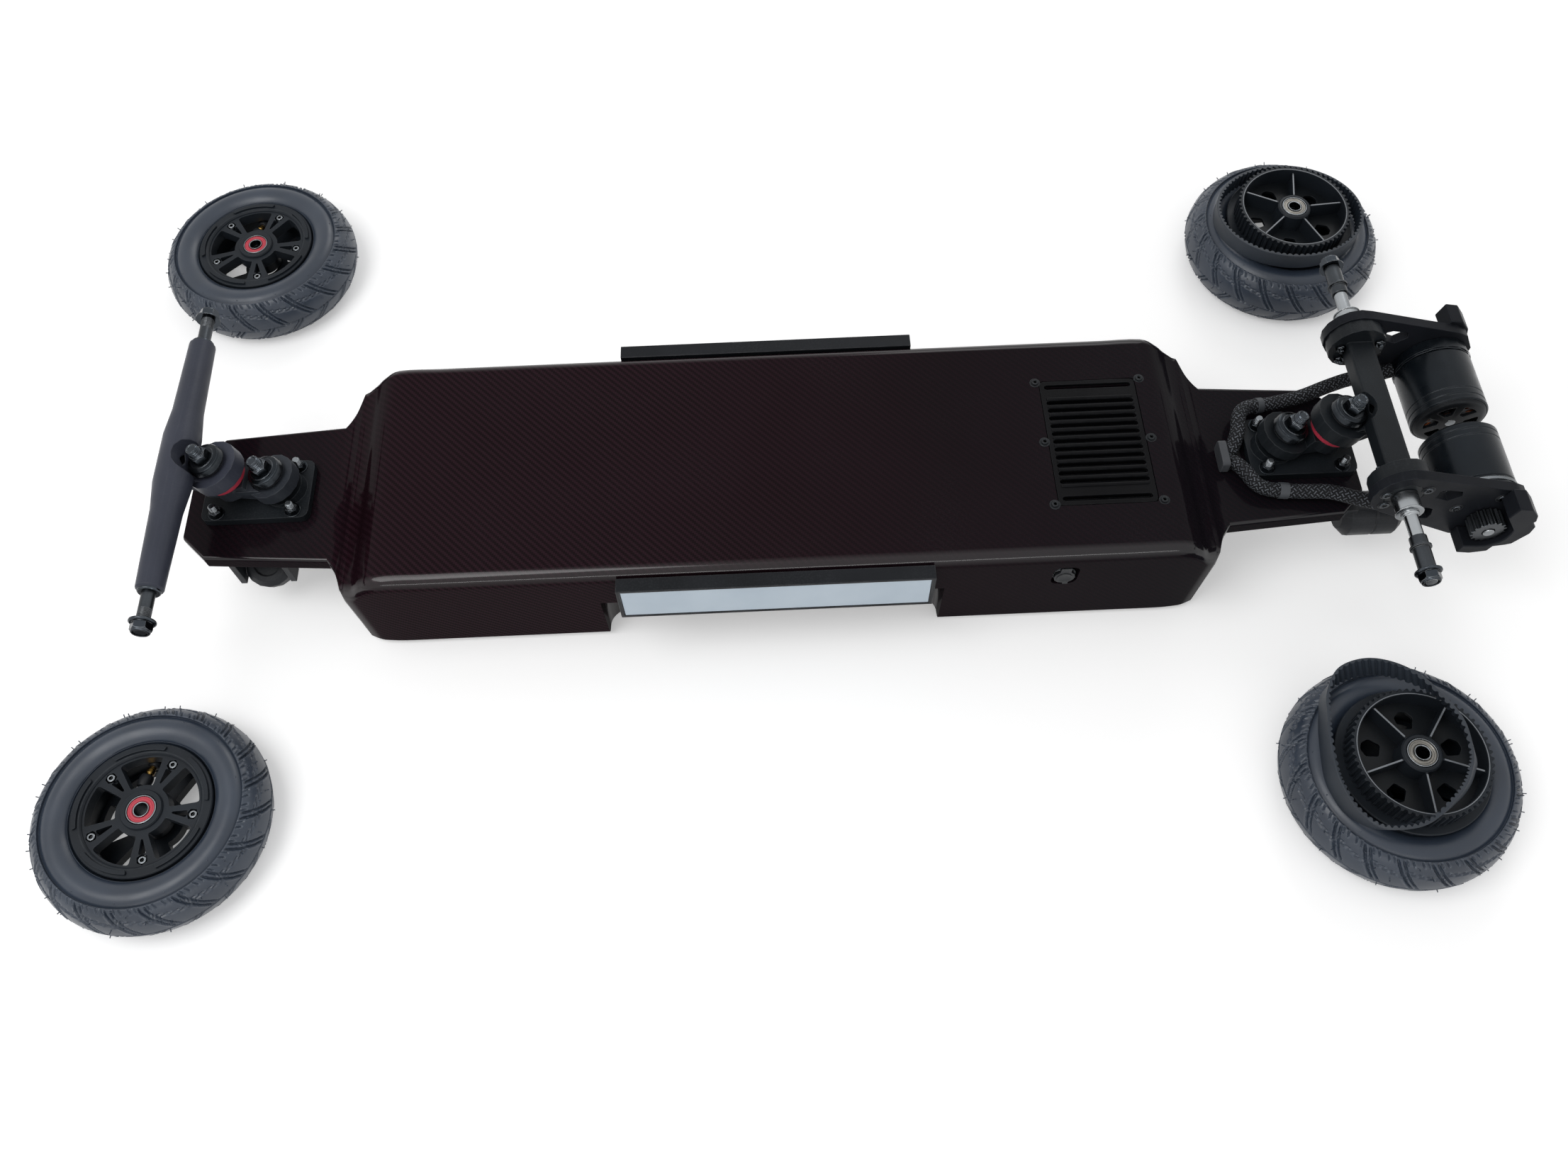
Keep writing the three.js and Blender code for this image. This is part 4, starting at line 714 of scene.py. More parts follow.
def sector(inner: float, outer: float, middle: float, inner_half: float, outer_half: float,
           steps: int = 12) -> Outline:
    """Draw a piece of a ring whose two arcs each have their own half angle.

    Args:
        inner: Radius of the inner arc.
        outer: Radius of the outer arc.
        middle: Angle of the middle, in radians.
        inner_half: Half angle of the inner arc, in degrees.
        outer_half: Half angle of the outer arc, in degrees.
        steps: Stretches in each arc.

    Returns:
        The outline.
    """
    inner_half, outer_half = math.radians(inner_half), math.radians(outer_half)
    arc = [polar(outer, middle - outer_half + 2 * outer_half * i / steps) for i in range(steps + 1)]
    return arc + [polar(inner, middle + inner_half - 2 * inner_half * i / steps) for i in range(steps + 1)]


def rounded(outline: Outline, radius: float, steps: int = 4) -> Outline:
    """Round the corners of an outline.

    Args:
        outline: The corners.
        radius: The most that a corner is cut back by.
        steps: Stretches in each rounding.

    Returns:
        The rounded outline.
    """
    found = []
    count = len(outline)
    for i in range(count):
        before, here, after = (Vector(outline[(i + k) % count]).to_2d() for k in (-1, 0, 1))
        start = here + (before - here).normalized() * min(radius, (before - here).length / 2)
        end = here + (after - here).normalized() * min(radius, (after - here).length / 2)
        for step in range(steps + 1):
            t = step / steps
            found.append(tuple(start * (1 - t) ** 2 + here * 2 * t * (1 - t) + end * t * t))
    return found


def smooth_path(places: Sequence[Point], steps: int, closed: bool = False) -> list[Vector]:
    """Run a smooth curve through places.

    Args:
        places: The places.
        steps: Points for each stretch between two places.
        closed: Whether the curve comes back to its start.

    Returns:
        Points along the curve.
    """
    nodes = [Vector(p) for p in places]
    count = len(nodes)
    found = []
    for i in range(count if closed else count - 1):
        picked = [(i + k) % count if closed else min(max(i + k, 0), count - 1) for k in (-1, 0, 1, 2)]
        a, b, c, d = (nodes[k] for k in picked)
        for step in range(steps):
            t = step / steps
            found.append(0.5 * (2 * b + (c - a) * t + (2 * a - 5 * b + 4 * c - d) * t * t
                                + (3 * b - a - 3 * c + d) * t ** 3))
    return found if closed else found + [nodes[-1]]


def tube_rings(path: Sequence[Vector], radius: float, sides: int) -> list[list[Vector]]:
    """Draw rings of points round a path, each turned as little as can be from the last.

    Args:
        path: The middle line.
        radius: Radius of the rings.
        sides: Points in each ring.

    Returns:
        One ring for each place of the path.
    """
    rings = []
    normal = (path[1] - path[0]).orthogonal().normalized()
    for i, place in enumerate(path):
        ahead = (path[min(i + 1, len(path) - 1)] - path[max(i - 1, 0)]).normalized()
        normal = (normal - ahead * normal.dot(ahead)).normalized()
        side = ahead.cross(normal)
        rings.append([place + radius * (math.cos(a) * normal + math.sin(a) * side) for a in angles(sides)])
    return rings


class Form:
    """A mesh under construction, with its numbers in millimetres."""

    def __init__(self) -> None:
        """Start with no points and no faces."""
        self.points: list[Vector] = []
        self.faces: list[list[int]] = []

    def add(self, points: Iterable[Point], faces: Iterable[Sequence[int]],
            place: Matrix | None = None) -> "Form":
        """Join more points and faces to the form.

        Args:
            points: Places in millimetres.
            faces: Indices into those points.
            place: How the added part is moved, if it is.

        Returns:
            This form.
        """
        start = len(self.points)
        moved = [Vector(p) for p in points]
        self.points += [place @ p for p in moved] if place else moved
        self.faces += [[i + start for i in face] for face in faces]
        return self

    def rings(self, rings: Sequence[Sequence[Point]], closed: bool = False,
              place: Matrix | None = None) -> "Form":
        """Join rings of equal size.

        Args:
            rings: The rings, in order.
            closed: Whether the last joins the first, with no caps.
            place: How the added part is moved, if it is.

        Returns:
            This form.
        """
        count = len(rings[0])
        total = len(rings)
        faces = [[r * count + i, r * count + (i + 1) % count,
                  ((r + 1) % total) * count + (i + 1) % count, ((r + 1) % total) * count + i]
                 for r in range(total if closed else total - 1) for i in range(count)]
        if not closed:
            faces += [list(range(count))[::-1], [(total - 1) * count + i for i in range(count)]]
        return self.add([p for ring in rings for p in ring], faces, place)

    def turned(self, profile: Outline, segments: int = 64, place: Matrix | None = None) -> "Form":
        """Turn a closed profile of (radius, height) points round the Z axis."""
        rings = [[(*polar(r, a), z) for r, z in profile] for a in angles(segments)]
        return self.rings(rings, True, place)

    def prism(self, outline: Outline, low: float, high: float, place: Matrix | None = None) -> "Form":
        """Raise a flat outline from one height to another."""
        return self.rings([[(x, y, z) for x, y in outline] for z in (low, high)], False, place)

    def bare(self) -> Piece:
        """Lay the form down as it is, with its faces turned outwards, for one form to cut another.

        Returns:
            The object.
        """
        mesh = bpy.data.meshes.new("carving")
        mesh.from_pydata(self.points, [], self.faces)
        work = bmesh.new()
        work.from_mesh(mesh)
        bmesh.ops.recalc_face_normals(work, faces=work.faces)
        work.to_mesh(mesh)
        work.free()
        item = bpy.data.objects.new("carving", mesh)
        bpy.context.scene.collection.objects.link(item)
        return item

    def carved(self, *tools: "Form") -> "Form":
        """Cut other forms out of this one.

        Args:
            tools: The forms that are taken away.

        Returns:
            What is left.
        """
        target = self.bare()
        cutters = [tool.bare() for tool in tools]
        for cutter in cutters:
            modifier = target.modifiers.new("cut", "BOOLEAN")
            modifier.object = cutter
            modifier.solver = "MANIFOLD"
        result = target.evaluated_get(bpy.context.evaluated_depsgraph_get()).to_mesh()
        left = Form().add([v.co.copy() for v in result.vertices],
                          [list(p.vertices) for p in result.polygons])
        for item in (target, *cutters):
            bpy.data.objects.remove(item)
        return left

    def make(self, name: str, finish: Finish, body: str | Bend, replaces: Sequence[str] = (),
             place: Matrix | None = None, edge: float = 0.0, smooth: float = SMOOTH) -> Piece:
        """Turn the form into a piece that rides on a body, or that is laid in place when it is given a bend.

        Args:
            name: The piece's name.
            finish: What it is made of.
            body: The body that it moves with, or a bend, which only lays the piece in place.
            replaces: CAD nodes that it stands for.
            place: Where the form goes, in millimetres.
            edge: Radius of a rounding on hard edges, in millimetres.
            smooth: Angle up to which neighbouring faces shade as one, in degrees.

        Returns:
            The new piece.
        """
        mesh = bpy.data.meshes.new(name)
        scale = Matrix.Scale(MM, 4) @ (place or Matrix.Identity(4))
        mesh.from_pydata([scale @ p for p in self.points], [], self.faces)
        return settle(mesh, name, finish, body, replaces, edge, smooth)


def settle(mesh: bpy.types.Mesh, name: str, finish: Finish, body: str | Bend, replaces: Sequence[str],
           edge: float, smooth: float) -> Piece:
    """Clean a mesh, shade it, round its edges and let the new piece ride on a body, or lay it in place when it
    is given a bend.

    Args:
        mesh: The mesh in metres.
        name: The piece's name.
        finish: What it is made of.
        body: The body that it moves with, or a bend, which only lays the piece in place.
        replaces: CAD nodes that it stands for.
        edge: Radius of a rounding on hard edges, in millimetres.
        smooth: Angle up to which neighbouring faces shade as one, in degrees.

    Returns:
        The new piece.
    """
    work = bmesh.new()
    work.from_mesh(mesh)
    bmesh.ops.remove_doubles(work, verts=work.verts, dist=0.002 * MM)
    bmesh.ops.recalc_face_normals(work, faces=work.faces)
    work.to_mesh(mesh)
    work.free()
    mesh.shade_smooth()
    mesh.set_sharp_from_angle(angle=math.radians(smooth))
    piece = bpy.data.objects.new(name, mesh)
    bpy.context.scene.collection.objects.link(piece)
    mesh.materials.append(finish.material())
    if edge:
        rounding = piece.modifiers.new("rounded_edges", "BEVEL")
        rounding.width = edge * MM
        rounding.segments = 2
        rounding.limit_method = "ANGLE"
        rounding.angle_limit = math.radians(smooth)
        rounding.harden_normals = True
    if isinstance(body, Bend):
        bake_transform(piece)
    else:
        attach(piece, body)
    if replaces:
        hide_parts(*replaces)
    LOG.info("%s moves with %s", name, body)
    return piece


def keep_flats(piece: Piece) -> None:
    """Let large flat faces keep their own shading beside rounded edges."""
    piece.modifiers.new("flat_faces_stay_flat", "WEIGHTED_NORMAL").keep_sharp = True


def polish(name: str, finish: Finish, edge: float) -> None:
    """Replace a CAD node by a copy of its shape with rounded edges.

    Args:
        name: The CAD node.
        finish: What it is made of.
        edge: Radius of the rounding in millimetres.
    """
    mesh = frame["nodes"][name].data.copy()
    mesh.materials.clear()
    work = bmesh.new()
    work.from_mesh(mesh)
    bmesh.ops.remove_doubles(work, verts=work.verts, dist=0.002 * MM)
    bmesh.ops.dissolve_limit(work, angle_limit=math.radians(1.0), verts=work.verts, edges=work.edges)
    work.to_mesh(mesh)
    work.free()
    body = next(b for b, nodes in frame["record"]["behaviour"]["bodies"].items() if name in nodes)
    keep_flats(settle(mesh, name + "_finished", finish, body, [name], edge, SMOOTH))


@dataclass(frozen=True)
class Bearing:
    """Ball bearing with two steel rings and a grooved shield between them, in millimetres."""

    outer: float = 11.0
    bore: float = 5.0
    width: float = 7.0
    rim: float = 0.8
    bevel: float = 0.3
    sink: float = 0.4
    outer_fold: Outline = ((0.8, 1.3), (1.3, 1.3), (1.3, 0.4), (2.2, 0.4), (2.4, 0.7), (2.7, 0.7),
                           (2.9, 0.4))
    inner_fold: Outline = ((1.9, 0.4), (1.6, 0.6), (1.3, 1.3), (0.8, 1.3))

    def add_to(self, rings: Form, shields: Form, low: float) -> None:
        """Add the bearing to a form of rings and a form of shields.

        Args:
            rings: Takes the steel rings.
            shields: Takes the shields.
            low: Height of the lower face.
        """
        high = low + self.width
        face_in, face_out = self.bore + self.rim, self.outer - self.rim
        rings.turned([(face_out, low), (self.outer - self.bevel, low), (self.outer, low + self.bevel),
                      (self.outer, high - self.bevel), (self.outer - self.bevel, high), (face_out, high)])
        rings.turned([(self.bore, low + self.bevel), (self.bore + self.bevel, low), (face_in, low),
                      (face_in, high), (self.bore + self.bevel, high), (self.bore, high - self.bevel)])
        folds = [(self.outer - inset, high - depth) for inset, depth in self.outer_fold]
        folds += [(self.bore + outset, high - depth) for outset, depth in self.inner_fold]
        shields.turned([(face_in, low + self.sink), (face_out, low + self.sink)] + folds)


@dataclass(frozen=True)
class SocketScrew:
    """Round screw head with a hexagon socket, in millimetres and in shares of the head."""

    radius: float
    low: float
    high: float
    socket: float = 0.52
    top: float = 0.86
    crown: float = 0.12
    depth: float = 0.7
    mouth: float = 1.04

    def add_to(self, form: Form, place: Matrix) -> None:
        """Add the head to a form.

        Args:
            form: Takes the head.
            place: Where the head goes.
        """
        hole = self.radius * self.socket
        floor = self.high - (self.high - self.low) * self.depth
        heights = (
            (self.radius, self.low), (self.radius, self.high - self.crown * self.radius),
            (self.radius * self.top, self.high), (hole * self.mouth, self.high), (hole, floor),
        )
        form.rings([[(x, y, z) for x, y in circle(r, 24)] for r, z in heights], False, place)
        form.prism(circle(hole, 6), floor - 0.05, floor, place)


def thread_profile(radius: float, low: float, high: float, pitch: float, depth: float) -> Outline:
    """Draw the outside of a threaded rod.

    Args:
        radius: Outside radius.
        low: Height at which the thread starts at the earliest.
        high: Height of the rod's end.
        pitch: Height of one turn.
        depth: Depth of the thread.

    Returns:
        The outside from the low end to the high end.
    """
    plain_end, bevel = 1.0, 0.8
    count = int((high - low - plain_end) / pitch)
    start = high - plain_end - count * pitch
    profile = [(radius, start)] if start > low else []
    for i in range(count):
        at = start + i * pitch
        profile += [(radius, at + 0.1 * pitch), (radius - depth, at + 0.5 * pitch),
                    (radius, at + 0.9 * pitch)]
    return profile + [(radius, high - 0.9 * plain_end), (radius - bevel, high)]


def nut_form(radius: float, bore: float, low: float, high: float, place: Matrix | None = None,
             form: Form | None = None) -> Form:
    """Add a hexagon nut whose corners are turned down at both faces.

    Args:
        radius: Distance of its corners from the axis.
        bore: Radius of its hole.
        low: Height of its lower face.
        high: Height of its upper face.
        place: Where it goes.
        form: The form that it is added to, if there is one.

    Returns:
        The form.
    """
    corner = TURN / 6
    flat = radius * math.cos(corner / 2)
    turned_down, bevel, least = 0.12 * radius, 0.6, 0.15
    face = 0.95 * flat
    rings = []
    for angle in angles(48):
        reach = flat / math.cos((angle + corner / 2) % corner - corner / 2)
        drop = turned_down * (reach - flat) / (radius - flat) + least
        profile = [(bore, low), (face, low), (reach, low + drop), (reach, high - drop), (face, high),
                   (bore + bevel, high), (bore, high - bevel)]
        rings.append([(*polar(r, angle), z) for r, z in profile])
    return (form or Form()).rings(rings, True, place)


@dataclass
class Tyre:
    """Pneumatic tyre with a slanted tread, all sizes in millimetres."""

    width: float = 50.0
    wall: Outline = ((52.0, 39.0), (52.5, 42.6), (54.2, 45.6), (57.4, 48.1), (61.6, 49.7), (65.4, 50.0),
                     (69.0, 49.1), (71.6, 47.3))
    step: Outline = ((72.9, 45.9), (73.4, 45.7), (73.9, 47.9))
    tread: Outline = ((74.8, 48.0), (77.4, 46.4), (80.6, 43.0), (83.6, 38.4), (85.8, 32.6), (87.0, 27.6),
                      (87.3, 25.0))
    inside: Outline = ((51.9, 8.0), (53.5, 5.0), (64.0, 5.0), (76.0, 11.0), (81.0, 25.0), (76.0, 39.0),
                       (64.0, 45.0), (53.5, 45.0), (51.9, 42.0))
    around: int = 1000
    tread_step: float = 1.15
    blocks: int = 20
    lean: float = 0.17
    bow: float = 0.35
    half: float = 26.0
    line_width: float = 1.4
    line_gap: float = 3.4
    depth: float = 1.9
    lip: tuple[float, float, float] = (0.35, 1.5, 1.4)
    ring_lines: tuple[float, float] = (0.30, 0.37)
    ring_drift: float = 0.2
    tick_spots: tuple[float, float] = (0.19, 0.36)
    tick_reach: float = 0.16
    hairs: int = 64
    hair_radius: float = 0.4
    hair_limit: float = 88.6
    hair_spots: Outline = ((79.0, 44.8, 2.6), (86.0, 32.0, 2.2), (83.6, 38.4, 2.4), (70.0, 48.2, 0.7),
                           (86.6, 21.0, 2.0))

    def profile(self) -> list[tuple[float, float, float]]:
        """Draw the outside from bead to bead.

        Returns:
            The radius, the height and the share across the tread of each point.
        """
        wall = smooth_path([(r, z, 0) for r, z in self.wall], 2) + [Vector((r, z, 0)) for r, z in self.step]
        fine = smooth_path([(r, z, 0) for r, z in self.tread], 24)
        along = [0.0]
        for before, after in zip(fine, fine[1:]):
            along.append(along[-1] + (after - before).length)
        count = round(along[-1] / self.tread_step)
        upper = [(p.x, p.y, 0.0) for p in wall]
        for i in range(count + 1):
            at = next(k for k, run in enumerate(along) if run >= along[-1] * i / count - 1e-9)
            upper.append((fine[at].x, fine[at].y, max(i / count, 0.001)))
        return upper + [(r, self.width - z, -share) for r, z, share in upper[-2::-1]]

    def cut(self, away: float, width: float) -> float:
        """Return the share of full depth at a distance from a groove's middle line."""
        slope = 0.6
        return smooth_step(0.5 + (width / 2 - abs(away)) / slope)

    def sunk(self, angle: float, share: float, radius: float) -> float:
        """Measure how deep the tread lies below the smooth outside.

        Args:
            angle: Angle round the tyre.
            share: Share across the tread, from 0 at the shoulder to 1 in the middle, less than 0 below.
            radius: Radius of the smooth outside.

        Returns:
            The depth.
        """
        if share == 0:
            return 0.0
        along = abs(share)
        pitch = TURN / self.blocks
        phase = (0.0 if share > 0 else 0.5 * pitch) + self.lean * (along + self.bow * along * along)
        off = ((angle - phase + pitch / 2) % pitch) - pitch / 2
        place = off * radius * 0.8
        start = smooth_step(along * 14)
        pair = max(self.cut(place - self.line_gap / 2, self.line_width),
                   self.cut(place + self.line_gap / 2, self.line_width))
        lip_height, lip_away, lip_width = self.lip
        lip = lip_height * self.cut(place + self.line_gap / 2 + lip_away, lip_width)
        drift = self.ring_drift * ((off / pitch) % 1.0)
        ring = 0.55 * max(self.cut((along - line - drift) * self.half, 1.1) for line in self.ring_lines)
        middle = 0.5 * self.cut((1.0 - along) * self.half, 1.6)
        tick = 0.0
        if along < self.tick_reach:
            tick = 0.6 * max(self.cut((abs(off) - spot * pitch) * radius, 1.3) for spot in self.tick_spots)
        return self.depth * max(pair * start, ring, middle, tick) - lip * start * (1.0 - pair)

    def form(self) -> Form:
        """Build the tyre's outside, its tread and its inside.

        Returns:
            The form with its hairs.
        """
        profile = self.profile()
        ways = []
        for i in range(len(profile)):
            before, after = profile[max(i - 1, 0)], profile[min(i + 1, len(profile) - 1)]
            ways.append(Vector((after[0] - before[0], after[1] - before[1])).normalized())
        rings = []
        for angle in angles(self.around):
            ring = []
            for (r, z, share), way in zip(profile, ways):
                depth = self.sunk(angle, share, r)
                ring.append((r + way.y * depth, z - way.x * depth))
            rings.append([(*polar(r, angle), z) for r, z in (*ring, *self.inside)])
        return self.with_hairs(Form().rings(rings, True))

    def with_hairs(self, form: Form) -> Form:
        """Add the thin rubber hairs and bumps that the mould leaves.

        Args:
            form: The tyre.

        Returns:
            The same form.
        """
        heart = Vector((58.0, self.width / 2))
        for k in range(self.hairs):
            angle = TURN * (k + 0.37 * math.sin(5.1 * k)) / self.hairs
            r, z, length = self.hair_spots[(k * 7) % len(self.hair_spots)]
            tip = Vector((r, z)) + (Vector((r, z)) - heart).normalized() * length
            tip.x = min(tip.x, self.hair_limit)
            path = [Vector((*polar(q, angle), h)) for q, h in ((r - self.hair_radius, z), tip)]
            form.rings(tube_rings(path, self.hair_radius, 6))
        return form


@dataclass
class Wheel:
    """One wheel that was taken off and laid down, all sizes in millimetres."""

    name: str
    centre: Point
    turn: float
    arms: int = 5
    axle_hole: float = 11.2
    back_radius: float = 47.0
    spacer: Point = (5.2, 7.2)

    def add(self, form: Form, part: str, finish: Finish = HUB_PLASTIC, replaces: str | None = None,
            edge: float = 0.0) -> None:
        """Make one of the wheel's pieces.

        Args:
            form: Its form about the wheel's centre.
            part: The end of its name.
            finish: What it is made of.
            replaces: The end of the name of the CAD node that it stands for, if there is one.
            edge: Radius of a rounding on hard edges.
        """
        place = Matrix.Translation((*self.centre, 0)) @ spun(math.radians(self.turn))
        replaced = [f"{self.name}_{replaces}"] if replaces else []
        form.make(f"{self.name}_{part}", finish, f"{self.name}_wheel", replaced, place, edge)

    def arm_angles(self, share: float = 0.0) -> list[float]:
        """Return the angle of each arm, or of a place at a share of the way to the next."""
        return [(i + share) * TURN / self.arms for i in range(self.arms)]

    def hole(self, low: float, high: float, sides: int = 48) -> Form:
        """Return a cutter for the bearings' seat."""
        return Form().prism(circle(self.axle_hole, sides), low, high)

    def bearings(self, lows: Point, shields: Finish) -> None:
        """Fit two bearings and the spacer between them.

        Args:
            lows: Height of each bearing's lower face.
            shields: What the shields are made of.
        """
        rings, covers = Form(), Form()
        bearing = Bearing()
        for low in lows:
            bearing.add_to(rings, covers, low)
        inner, outer = self.spacer
        foot = lows[0] + bearing.width
        rings.turned([(inner, foot), (outer, foot), (outer, lows[1]), (inner, lows[1])], 48)
        self.add(rings, "bearing_rings", GREY_STEEL, "bearings")
        self.add(covers, "bearing_seals", shields)


@dataclass
class FrontWheel(Wheel):
    """Wheel with a split five-armed hub."""

    face: float = 44.6
    plate: float = 10.0
    back: Point = (9.0, 17.0)
    pane: Point = (19.5, 41.5, 24.0, 22.5)
    slot: Point = (22.5, 34.0, 1.8, 4.8)
    pocket: Point = (38.0, 4.4, 4.2)
    barrel: Outline = ((44.7, 3.4), (50.9, 3.4), (51.7, 4.2), (51.7, 45.8), (50.9, 46.6), (45.2, 46.6),
                       (44.7, 46.1))
    shoulder: Outline = ((43.2, 41.5), (45.0, 41.5), (45.0, 46.4), (44.4, 46.4), (43.2, 45.2))
    boss: Outline = ((11.3, 22.0), (15.4, 22.0), (15.4, 45.6), (14.6, 46.8), (11.9, 46.8), (11.3, 46.2))
    arc: Point = (45.9, 49.3, 23.0, 24.0)
    arc_heights: Point = (46.0, 48.5)
    screw_circle: float = 38.4
    screw: SocketScrew = SocketScrew(2.9, 40.6, 44.8)
    valve_foot_at: Point = (43.0, 105.0, 27.0)
    valve_tip_at: Point = (21.6, 129.0, 32.0)
    foot: Outline = ((0.0, -2.0), (5.0, -2.0), (5.0, 0.6), (4.2, 2.4), (2.9, 3.0), (0.0, 3.0))
    stem: Outline = ((0.0, 2.8), (2.6, 2.8), (2.6, 5.0), (3.2, 5.4), (3.2, 8.6), (2.6, 9.0), (2.6, 11.0),
                     (0.0, 11.0))
    cap: Outline = ((0.0, 10.4), (3.8, 10.4), (4.7, 11.2), (5.1, 13.4), (5.0, 17.4), (4.2, 20.2),
                    (2.4, 21.6), (0.0, 22.0))
    bearing_lows: Point = (22.0, 39.8)

    def spokes(self, low: float, high: float, slotted: bool) -> Form:
        """Cut a spoked plate.

        Args:
            low: Height of its lower face.
            high: Height of its upper face.
            slotted: Whether each arm has a slot.

        Returns:
            The plate.
        """
        tools = Form()
        for at, middle in zip(self.arm_angles(), self.arm_angles(0.5)):
            inner, outer, *halves = self.pane
            tools.prism(rounded(sector(inner, outer, middle, *halves, 10), 2.2, 2), low - 1, high + 1)
            if slotted:
                inner, outer, *halves = self.slot
                tools.prism(rounded(sector(inner, outer, at, *halves, 4), 1.2, 3), low - 1, high + 1)
        return Form().prism(circle(self.back_radius, 120), low, high).carved(tools)

    def hub(self) -> None:
        """Build the rim with its raised arcs, both spoked plates and the boss."""
        reach, radius, depth = self.pocket
        pockets = Form()
        for at in self.arm_angles():
            pockets.prism(circle(radius, 6, polar(reach, at), at), self.face - depth, self.face + 1)
        upper = self.spokes(self.face - self.plate, self.face, True)
        upper = upper.carved(pockets, self.hole(-1, 60, 64))
        lower = self.spokes(*self.back, False).carved(self.hole(-1, 60, 64))
        self.add(upper, "hub_face", replaces="hub", edge=0.7)
        turned_lower = Form().add(lower.points, lower.faces, spun(TURN / self.arms / 9))
        self.add(turned_lower, "hub_back_face", edge=0.6)
        arcs = Form()
        inner, outer, *halves = self.arc
        for middle in self.arm_angles(0.5):
            arcs.prism(rounded(sector(inner, outer, middle, *halves, 24), 1.5, 3), *self.arc_heights)
        self.add(arcs, "rim_arcs", edge=0.35)
        self.add(Form().turned(self.barrel, 120).turned(self.shoulder, 120), "rim")
        self.add(Form().turned(self.boss, 72), "hub_boss")

    def screws(self) -> None:
        """Fit the five screws that hold the hub's halves together."""
        heads = Form()
        for at in self.arm_angles():
            self.screw.add_to(heads, Matrix.Translation((*polar(self.screw_circle, at), 0)))
        self.add(heads, "hub_screws", GREY_STEEL)

    def valve(self) -> None:
        """Fit the valve's foot, its brass stem and its cap."""
        foot, tip = (Vector((*polar(r, math.radians(a)), z))
                     for r, a, z in (self.valve_foot_at, self.valve_tip_at))
        place = Matrix.Translation(foot) @ (tip - foot).to_track_quat("Z", "Y").to_matrix().to_4x4()
        for part, section, finish in (("foot", self.foot, BLACK_PLASTIC), ("stem", self.stem, BRASS),
                                      ("cap", self.cap, BLACK_PLASTIC)):
            self.add(Form().turned(section, 32, place), "valve_" + part, finish)

    def build(self, tyre: Form) -> None:
        """Build the whole wheel round the tyre that all wheels share.

        Args:
            tyre: The tyre's form.
        """
        self.add(tyre, "tyre_with_tread", TYRE_RUBBER, "tyre")
        self.hub()
        self.screws()
        self.bearings(self.bearing_lows, RED_SEAL)
        self.valve()


